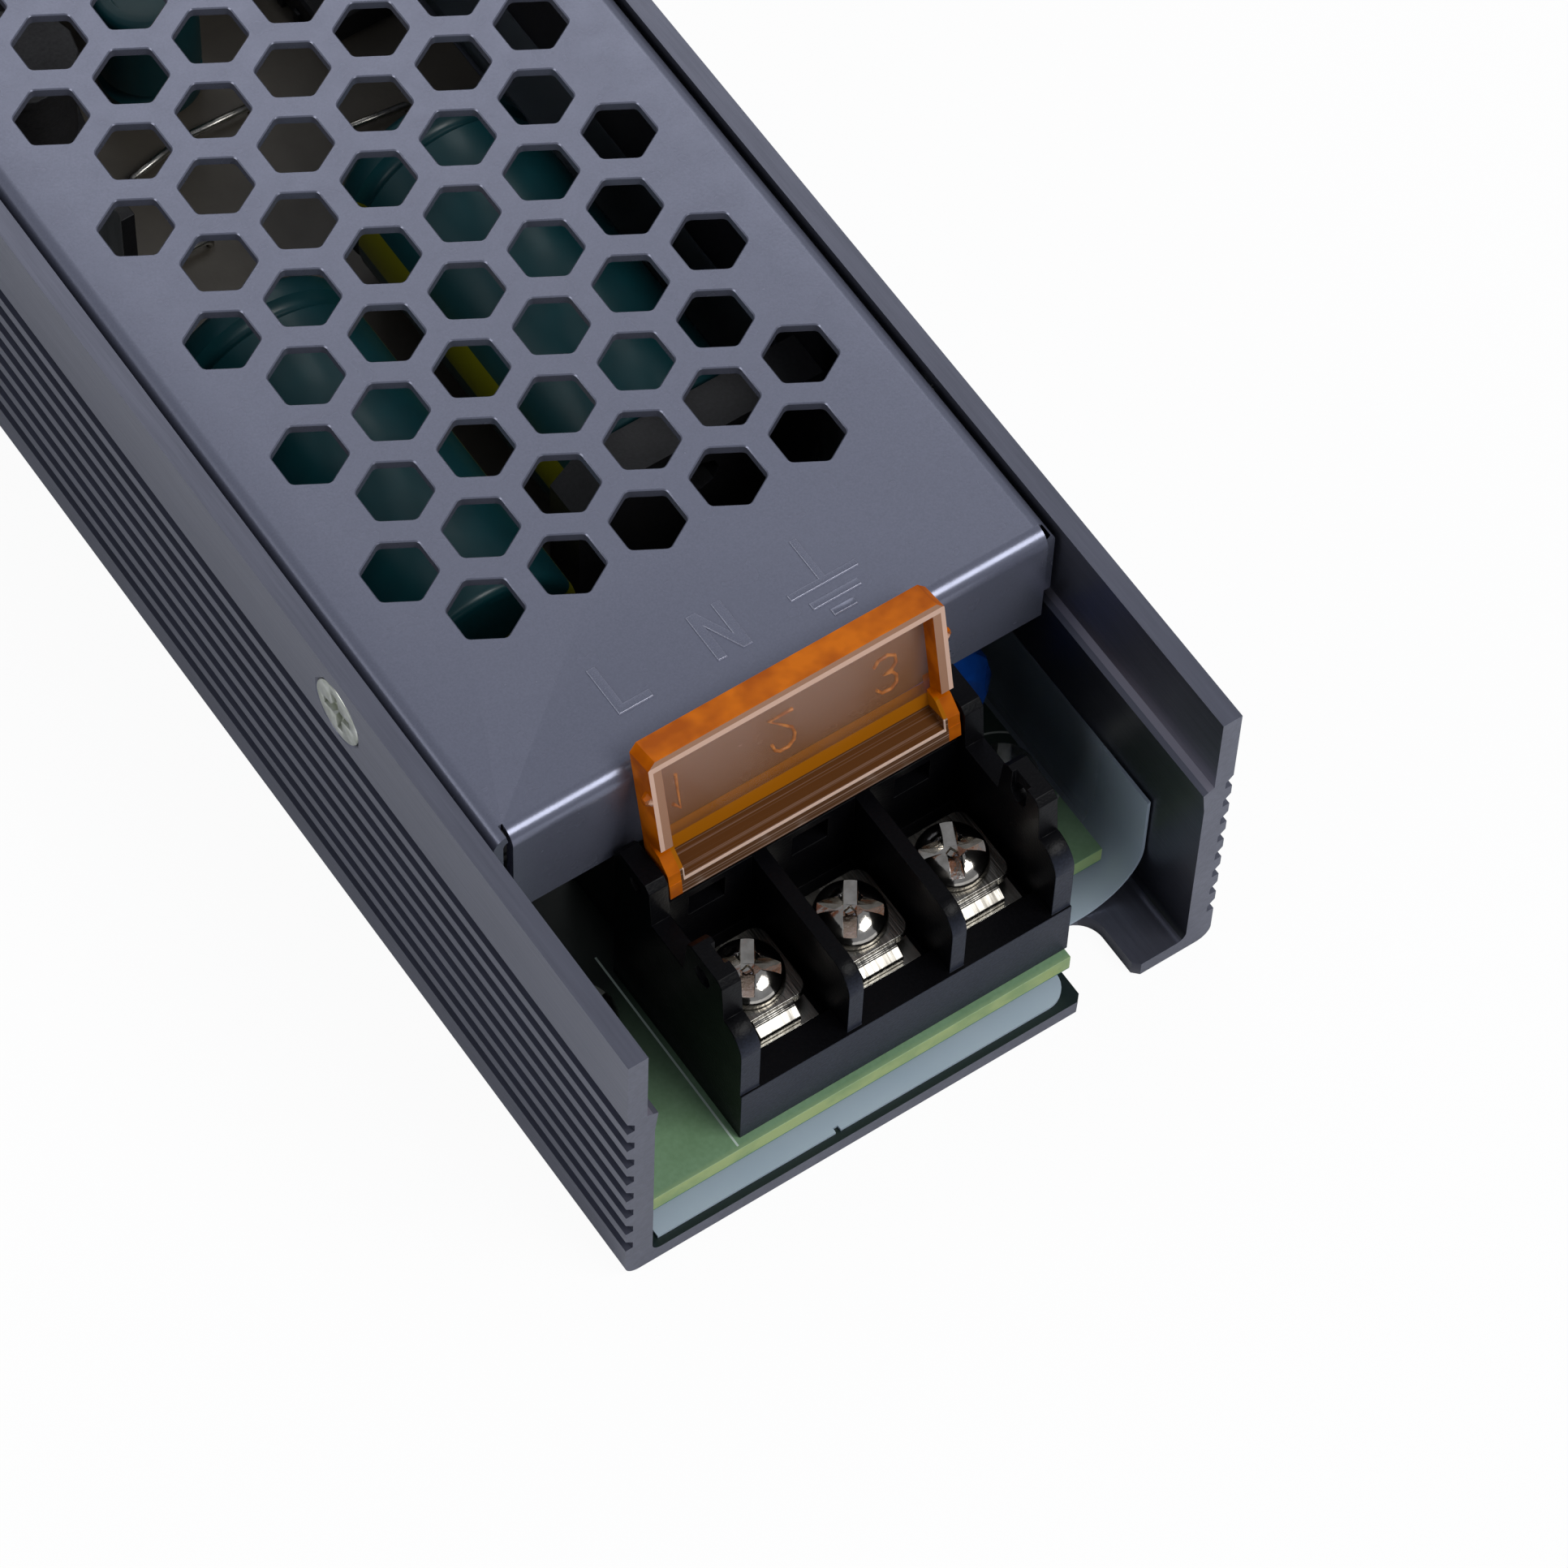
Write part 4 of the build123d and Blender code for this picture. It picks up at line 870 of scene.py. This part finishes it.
def crossBar(look, top, reach, turned):
    # one bar of the cross, its floor rising to both ends
    foot, mouth, over = crossLook["armFoot"], crossLook["armMouth"], top + crossLook["armOver"]
    inner, outer = look["armInner"], look["armOuter"]
    low, high = top - look["armDepth"], top - look["armDepth"] + look["armRise"]
    rings = []
    for x, half, floor in ((-reach, outer, high), (0, inner, low), (reach, outer, high)):
        rings.append([(x, -half * foot, floor), (x, half * foot, floor), (x, half * mouth, over),
                      (x, -half * mouth, over)])
    shape = bmesh.new()
    loft(shape, rings)
    faceOut(shape)
    mesh = meshOf(shape, "crossBar")
    mesh.transform(spun(turned))
    return mesh


def cutHead(mesh, look, top):
    # cuts the cross, the round pocket where its bars meet, then the small socket in the middle
    cross = crossLook
    grown = Matrix.Scale(1 / mm, 4)
    mesh.transform(grown)
    head = stand("headBlank", mesh)
    pocket, socket = look["pocket"], look["socket"]
    pocketFloor, socketFloor = top - look["pocketDepth"], top - look["socketDepth"]
    pocketTop, socketTop = top + cross["pocketOver"], top + cross["socketOver"]
    pocketLine = [(0, pocketFloor), (pocket * cross["pocketFoot"], pocketFloor), (pocket, top + cross["pocketRim"]),
                  (pocket, pocketTop), (0, pocketTop)]
    socketLine = [(0, socketFloor), (socket * cross["socketFoot"], socketFloor),
                  (socket * cross["socketMouth"], socketTop), (0, socketTop)]
    cutters = [
        crossBar(look, top, look["reach"], cross["turned"]), crossBar(look, top, look["reach"], 90 + cross["turned"]),
        latheMesh("pocket", pocketLine, cross["pocketSteps"]), latheMesh("socket", socketLine, 4),
    ]
    for cutterMesh in cutters:
        cutterMesh.transform(grown)
        cutter = stand("cutter", cutterMesh)
        cut = head.modifiers.new("cut", "BOOLEAN")
        cut.operation = "DIFFERENCE"
        cut.solver = "MANIFOLD"
        cut.object = cutter
        bpy.context.view_layer.update()
        result = bpy.data.meshes.new_from_object(head.evaluated_get(bpy.context.evaluated_depsgraph_get()))
        head.modifiers.clear()
        head.data = result
        bpy.data.objects.remove(cutter)
    done = head.data
    done.transform(grown.inverted())
    bpy.data.objects.remove(head)
    shape = bmesh.new()
    shape.from_mesh(done)
    bmesh.ops.remove_doubles(shape, verts=shape.verts, dist=0.004 * mm)
    roundEdges(shape, sharpEdges(shape, 32), look["edge"])
    shape.to_mesh(done)
    shape.free()
    return done


def panOutline(look, length):
    radius, side, shank, steps = look["radius"], look["side"], look["shank"], look["domeSteps"]
    outline = [(0, -length), (shank * look["tipShare"], -length), (shank, -length + look["tip"]), (shank, 0),
               (radius - look["edgeBreak"], 0), (radius, look["edgeBreak"]), (radius, side)]
    for step in range(1, steps + 1):
        turn = radians(90 * step / steps)
        reach = radius * cos(turn) if step < steps else 0
        outline.append((reach, side + (look["height"] - side) * sin(turn)))
    return outline


def fourScrews(name, head, node, place):
    # one copy of the head at each corner; place gives where it goes, from its number and the corner's signs
    for index, (sx, sy) in enumerate(((-1, -1), (1, -1), (-1, 1), (1, 1))):
        mesh = head.copy()
        mesh.transform(place(index, sx, sy))
        piece = link(f"{name}{index + 1}", mesh, "zinc")
        evenNormals(piece)
        if index == 0:
            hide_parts(node)


def makeScrews():
    look = screwLook
    top = look["height"]
    terminal = cutHead(latheMesh("terminalScrew", panOutline(look, look["length"]), look["steps"]), look, top)
    for end, count in (("input", 3), ("output", 2)):
        for number in range(1, count + 1):
            node = f"{end}_screw_{number}"
            low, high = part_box(node)
            mesh = terminal.copy()
            turn = spun(look["turns"][number - 1])
            spot = Vector(((low.x + high.x) / 2, (low.y + high.y) / 2, high.z - top * mm))
            mesh.transform(Matrix.Translation(spot) @ turn)
            evenNormals(link(node + "Dressed", mesh, "nickel", bodyOf(node), (node,)))
    low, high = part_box("board_screws")
    shank = (high.z - low.z) / mm - top
    boardHead = cutHead(latheMesh("boardScrew", panOutline(look, shank), look["steps"]), look, top)
    edge = (high - low) / 2
    reach = Vector((edge.x - look["radius"] * mm, edge.y - look["radius"] * mm, 0))

    def place(index, sx, sy):
        spot = Vector((sx * reach.x, sy * reach.y, high.z - top * mm))
        return Matrix.Translation(spot) @ spun(look["boardTurn"] + look["boardTurnStep"] * index)

    fourScrews("boardScrew", boardHead, "board_screws", place)


makeScrews()

# countersunk cover screws, flush with the side walls
sunkLook = {
    "radius": 2.62, "shank": 1.45, "length": 5.0, "steps": 48, "inset": 36.1, "height": 25.3, "edgeBreak": 0.08,
    "armInner": 0.42, "armOuter": 0.40, "armDepth": 0.9, "armRise": 0.6, "pocket": 0.75, "pocketDepth": 0.8,
    "socket": 0.45, "socketDepth": 1.2, "reach": 1.7, "edge": 0.03, "turn": 12, "turnStep": 40,
}


def makeSunkScrews():
    look = sunkLook
    radius, shank, edge = look["radius"], look["shank"], look["edgeBreak"]
    outline = [(0, -look["length"]), (shank, -look["length"]), (shank, shank - radius), (radius, -edge),
               (radius - edge, 0), (0, 0)]
    head = cutHead(latheMesh("sunkScrew", outline, look["steps"]), look, 0.0)
    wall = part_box("cover_screws")[1].x
    fromMiddle = cadHigh.y / mm - look["inset"]

    def place(index, sx, sy):
        face = spun(90 * sx, "Y")
        spin = spun(look["turn"] + look["turnStep"] * index)
        return Matrix.Translation(Vector((sx * wall, sy * fromMiddle * mm, look["height"] * mm))) @ face @ spin

    fourScrews("coverScrew", head, "cover_screws", place)


makeSunkScrews()
print("screws: headed and crossed")

# the two lying cans; the stripe's place is an angle round the can, in degrees from +X
canLook = {
    "steps": 64, "lip": 0.7, "lipSteps": 6, "groove": 0.75, "grooveFrom": 1.9, "grooveTo": 3.5, "grooveSteps": 6,
    "topInset": 0.35, "topRim": (1.3, 1.5), "foot": ((1.2, 0.5), (0.9, 0.0), (0.3, 0.1), (0.0, 0.6)),
    "stripeLeft": 12.0, "stripeRight": 168.0, "length": 31.5, "standingPitch": 11.5,
}


def sleeveOutline(radius, length, look):
    lip, low, tall = look["lip"], look["grooveFrom"], look["grooveTo"] - look["grooveFrom"]
    outline = [(0, look["foot"][0][1])] + [(radius - inset, height) for inset, height in look["foot"]]
    outline.append((radius, low))
    for step in range(1, look["grooveSteps"]):
        share = step / look["grooveSteps"]
        outline.append((radius - look["groove"] * sin(pi * share), low + tall * share))
    outline.append((radius, look["grooveTo"]))
    for step in range(look["lipSteps"] + 1):
        turn = radians(90 * step / look["lipSteps"])
        outline.append((radius - lip * (1 - cos(turn)), length - lip * (1 - sin(turn))))
    face = length - look["topInset"]
    return outline + [(radius - look["topRim"][0], length), (radius - look["topRim"][1], face), (0, face)]


def makeCans():
    look = canLook
    for side, stripe in (("left", look["stripeLeft"]), ("right", look["stripeRight"])):
        node = "bulk_capacitor_" + side
        low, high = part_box(node)
        radius = (high.x - low.x) / 2 / mm
        middle = Vector(((low.x + high.x) / 2, low.y + look["length"] * mm, high.z - radius * mm))
        sleeve = makeSleeve("tealSleeve" + side.title(), middle.x / mm, middle.z / mm, stripe)
        mesh = latheMesh(node, sleeveOutline(radius, look["length"], look), look["steps"])
        mesh.transform(Matrix.Translation(middle) @ spun(90, "X"))
        link(node + "Dressed", mesh, sleeve, "chassis", (node,), sharp=50)
    for node in ("start_capacitor", "output_capacitors"):
        low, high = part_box(node)
        across = min(high.x - low.x, high.y - low.y)
        count = round((high.x - low.x - across) / (look["standingPitch"] * mm)) + 1
        height = (high.z - low.z) / mm
        for index in range(count):
            x = low.x + across / 2 + index * (high.x - low.x - across) / max(1, count - 1)
            spot = Vector((x, (low.y + high.y) / 2, low.z))
            sleeve = makeSleeve(f"{node}Sleeve{index + 1}", x / mm, 0.0, 0.0)
            mesh = latheMesh(node, sleeveOutline(across / 2 / mm, height, look), look["steps"])
            mesh.transform(Matrix.Translation(spot))
            piece = link(f"{node}Can{index + 1}", mesh, sleeve, sharp=50)
            if index == 0:
                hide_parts(node)


makeCans()
print("cans: sleeved")

# round jumper wires over the bare board: x from, x to and y of each, and how they lie, in millimetres
wireLook = {
    "radius": 0.32, "over": 0.75, "sink": 0.2, "bend": 0.35, "steps": 4,
    "runs": ((-6.9, -2.5, 0.9, 1.7), (-1.0, 4.4, 2.0, 1.8), (8.2, 14.4, -3.8, -4.5), (-10.8, -4.7, -7.0, -7.0)),
}


def makeWires():
    look = wireLook
    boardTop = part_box("jumper_wires")[0].z / mm
    foot, rise, bend = boardTop - look["sink"], boardTop + look["over"], look["bend"]
    lines = []
    for x0, x1, y0, y1 in look["runs"]:
        corners = ((x0, y0, foot), (x0, y0, rise - bend), (x0 + bend, y0, rise), (x1 - bend, y1, rise),
                   (x1, y1, rise - bend), (x1, y1, foot))
        lines.append([[value * mm for value in corner] for corner in corners])
    wires = tubes("jumperWires", lines, look["radius"], look["steps"], "tinned")
    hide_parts("jumper_wires")


makeWires()

# the insulating film: flat under the board, turned up along the right wall; millimetres
filmShape = {
    "left": -21.9, "turnAt": 17.35, "turnRadius": 5.0, "top": 12.85, "bottom": 1.7, "sheet": 0.25,
    "tongueTo": 13.3, "tongueEnd": 93.4, "sheetEnd": 88.6, "corner": 2.0, "cornerSteps": 8, "turnSteps": 20,
    "notchAt": -6.77, "notchHalf": 0.20, "notchDeep": 0.40, "notchSlant": 0.02,
}


def makeFilmSheet():
    look = filmShape
    bottom, radius, turnAt = look["bottom"], look["turnRadius"], look["turnAt"]
    corner, cornerSteps, centreZ = look["corner"], look["cornerSteps"], bottom + radius
    # each column is its way along the unrolled sheet, then its x and z
    columns = [(look["left"], look["left"], bottom)]
    steps = [look["tongueTo"] - corner * (1 - sin(radians(90 * k / cornerSteps)))
             for k in range(cornerSteps + 1)]
    columns += [(-x, -x, bottom) for x in steps[::-1]]
    notchEdge = look["notchHalf"] + look["notchSlant"]
    notch = [look["notchAt"] + x for x in (-notchEdge, -look["notchHalf"], look["notchHalf"], notchEdge)]
    columns += [(x, x, bottom) for x in notch + steps]
    for k in range(look["turnSteps"] + 1):
        turn = radians(90 * k / look["turnSteps"])
        columns.append((turnAt + radius * turn, turnAt + radius * sin(turn), centreZ - radius * cos(turn)))
    columns.append((turnAt + radius * pi / 2 + look["top"] - centreZ, turnAt + radius, look["top"]))
    shape = bmesh.new()

    def grid(lines, ends):
        rows = []
        for column in lines:
            first, last = ends(column[0])
            rows.append([shape.verts.new((column[1] * mm, y * mm, column[2] * mm)) for y in (first, last)])
        for a, b in zip(rows, rows[1:]):
            shape.faces.new((a[0], b[0], b[1], a[1]))

    def tongue(reach):
        over = max(0.0, reach - (look["tongueTo"] - corner))
        return look["tongueEnd"] - corner + sqrt(max(0.0, corner ** 2 - over ** 2))

    grid(columns, lambda along: (-look["sheetEnd"], look["sheetEnd"]))
    front = [c for c in columns if c[0] <= look["tongueTo"] + 1e-6]
    rear = [c for c in columns if -look["tongueTo"] - 1e-6 <= c[0] <= look["turnAt"] + 1e-6]
    cut = {x: look["notchDeep"] for x in notch[1:3]}
    grid(front, lambda along: (cut.get(along, 0.0) - tongue(along), -look["sheetEnd"]))
    grid(rear, lambda along: (look["sheetEnd"], tongue(-along)))
    bmesh.ops.remove_doubles(shape, verts=shape.verts, dist=0.001 * mm)
    faceOut(shape)
    bmesh.ops.solidify(shape, geom=shape.faces[:], thickness=look["sheet"] * mm)
    faceOut(shape)
    mesh = meshOf(shape, "filmSheet")
    link("filmSheet", mesh, "clearFilm", "chassis", ("insulation_sheet",), sharp=40)


makeFilmSheet()
print("wires and film: laid")

# the cover's marks for phase, neutral and earth, raised a little; outlines in millimetres, y from the mains end
# pale is the painted highlight on the marks' sloping edges
markLook = {"height": 0.13, "edge": 0.07, "sink": 0.04, "rim": 0.012, "pale": tone(168, 170, 184), "spread": 0.1}
markOutlines = {
    "markPhase": [[(-10.4, 27.35), (-9.7, 27.35), (-9.7, 23.85), (-7.6, 23.85), (-7.6, 23.2), (-10.4, 23.2)]],
    "markNeutral": [[(-2.37, 27.2), (-1.6, 27.2), (-0.3, 24.5), (-0.3, 27.2), (0.43, 27.2), (0.43, 23.1),
                     (-0.32, 23.1), (-1.65, 25.9), (-1.65, 23.1), (-2.37, 23.1)]],
    "markEarth": [[(7.05, 28.5), (7.6, 28.5), (7.6, 24.9), (10.05, 24.9), (10.05, 24.35), (4.45, 24.35),
                   (4.45, 24.9), (7.05, 24.9)],
                  [(5.36, 23.55), (9.35, 23.55), (9.35, 22.95), (5.36, 22.95)],
                  [(6.33, 22.4), (8.25, 22.4), (8.25, 21.8), (6.33, 21.8)]],
}


def makeMarkPaint():
    # the cover's paint, with a painted highlight where a mark's edge slopes
    look = finishes["coverPaint"]
    shader = Shader("markPaint")
    grain = shader.even(shader.noise(look["grain"], 3.0))
    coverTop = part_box("top_cover")[1].z / mm
    slopeHighlight = shader.axes()[2] < coverTop + markLook["height"] - markLook["rim"]
    flat = shader.mix(grain, look["colour"], look["fleck"])
    return shader.finish({
        "Base Color": shader.mix(slopeHighlight, flat, markLook["pale"]),
        "Metallic": look["metallic"],
        "Roughness": look["roughness"] + (grain - 0.5) * markLook["spread"],
    })


materials["markPaint"] = makeMarkPaint()


def makeMarks():
    look = markLook
    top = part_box("top_cover")[1].z / mm
    front = cadLow.y / mm
    for name, outlines in markOutlines.items():
        shape = bmesh.new()
        for outline in outlines:
            low = [shape.verts.new((x * mm, (front + y) * mm, (top - look["sink"]) * mm)) for x, y in outline]
            made = bmesh.ops.extrude_face_region(shape, geom=[shape.faces.new(low)])["geom"]
            moved = [item for item in made if isinstance(item, bmesh.types.BMVert)]
            bmesh.ops.translate(shape, vec=(0, 0, (look["height"] + look["sink"]) * mm), verts=moved)
        faceOut(shape)
        roundEdges(shape, [e for e in shape.edges if min(v.co.z for v in e.verts) > top * mm], look["edge"])
        evenNormals(link(name, meshOf(shape, name), "markPaint"))


makeMarks()

# numerals moulded on the amber covers: strokes in millimetres over a cell's middle, as read when shut
numeralLook = {
    "stroke": 0.14, "steps": 2, "height": 3.4, "width": 2.1, "pitch": 8.6, "reach": 5.2, "over": 1.28,
    "shift": -0.35, "colour": tone(240, 150, 62), "fleck": tone(176, 92, 26), "share": 0.10, "cloud": 0.8,
    "glowRoughness": 0.12, "clearRoughness": 0.05,
}
numeralStrokes = {
    1: [(-0.25, 0.3), (0.0, 0.5), (0.0, -0.5)],
    2: [(-0.45, 0.22), (-0.38, 0.4), (-0.2, 0.5), (0.15, 0.5), (0.38, 0.38), (0.44, 0.2), (0.36, 0.0),
        (-0.45, -0.5), (0.48, -0.5)],
    3: [(-0.42, 0.34), (-0.25, 0.48), (0.12, 0.5), (0.36, 0.38), (0.38, 0.18), (0.2, 0.02), (-0.08, 0.0),
        (0.22, -0.04), (0.42, -0.2), (0.4, -0.4), (0.14, -0.5), (-0.25, -0.48), (-0.44, -0.34)],
}


def makeRaised():
    look = numeralLook
    shader = Shader("amberRaised")
    cloud = shader.even(shader.noise(look["cloud"]), 0.4, 0.6)
    glow = shader.plastic({"Base Color": shader.mix(cloud, look["colour"], look["fleck"]),
                           "Roughness": look["glowRoughness"]})
    clear = shader.plastic({"Base Color": look["colour"], "Roughness": look["clearRoughness"],
                            "IOR": amberLook["index"], "Transmission Weight": 1.0})
    return shader.output(shader.blend(look["share"], glow, clear))


materials["amberRaised"] = makeRaised()


def makeNumerals(end, numbers, turned):
    look = numeralLook
    hinge = hingeOf(end)
    swing = spun(-openLean if end == "input" else 0, "X")
    around = spun(180 if turned else 0)
    for index, number in enumerate(numbers):
        across = (index - (len(numbers) - 1) / 2) * look["pitch"] + look["shift"]
        line = []
        for x, y in numeralStrokes[number]:
            local = Vector((across + x * look["width"], -look["reach"] + y * look["height"], look["over"]))
            line.append(hinge + swing @ around @ (local * mm))
        tubes(f"{end}Numeral{number}", [line], look["stroke"], look["steps"], "amberRaised",
              end + "_cover")


makeNumerals("input", (1, 2, 3), False)
makeNumerals("output", (1, 2), True)
print("marks and numerals: raised")

# the studio: a pale floor, a soft sky and three soft boxes; places in metres, power in watts
studio = {
    "floor": tone(238, 239, 241), "floorSize": 6.0, "floorZ": -0.0002, "floorSeen": 0.95,
    "sky": tone(214, 218, 228), "skyStrength": 0.42, "boxShape": 0.8, "aim": (0, -0.03, 0.015),
    "boxes": (
        ("keyBox", (0.32, -0.62, 0.80), 0.55, 5.5), ("leftBox", (-0.95, 0.10, 0.55), 0.6, 2.6),
        ("backBox", (0.35, 0.75, 0.75), 0.7, 2.1),
    ),
}


def makeStudio():
    bpy.ops.mesh.primitive_plane_add(size=studio["floorSize"], location=(0, 0, studio["floorZ"]))
    floor = bpy.context.object
    floor.name = "studioFloor"
    white = (1, 1, 1, 1)
    shader = Shader("studioFloor")
    plain = shader.add("ShaderNodeBsdfDiffuse", sockets={"Color": studio["floor"]})
    bright = shader.add("ShaderNodeEmission", sockets={"Color": white, "Strength": 1.0})
    path = shader.add("ShaderNodeLightPath", out="Is Camera Ray")
    seen = path.most(path.other("Is Transmission Ray")) * studio["floorSeen"]
    floor.data.materials.append(shader.output(shader.blend(seen, plain, bright)))
    sky = Shader("studioSky", bpy.data.worlds.new("studioSky"))
    soft = sky.add("ShaderNodeBackground", sockets={"Color": studio["sky"], "Strength": studio["skyStrength"]})
    back = sky.add("ShaderNodeBackground", sockets={"Color": white})
    seen = sky.add("ShaderNodeLightPath", out="Is Camera Ray")
    scene.world = sky.output(sky.blend(seen, soft, back), "ShaderNodeOutputWorld")
    for name, place, size, power in studio["boxes"]:
        lamp = bpy.data.lights.new(name, "AREA")
        lamp.shape = "RECTANGLE"
        lamp.size = size
        lamp.size_y = size * studio["boxShape"]
        lamp.energy = power
        holder = stand(name, lamp)
        holder.location = place
        aim = Vector(studio["aim"]) - Vector(place)
        holder.rotation_euler = aim.to_track_quat("-Z", "Y").to_euler()


makeStudio()
print("studio: lit")
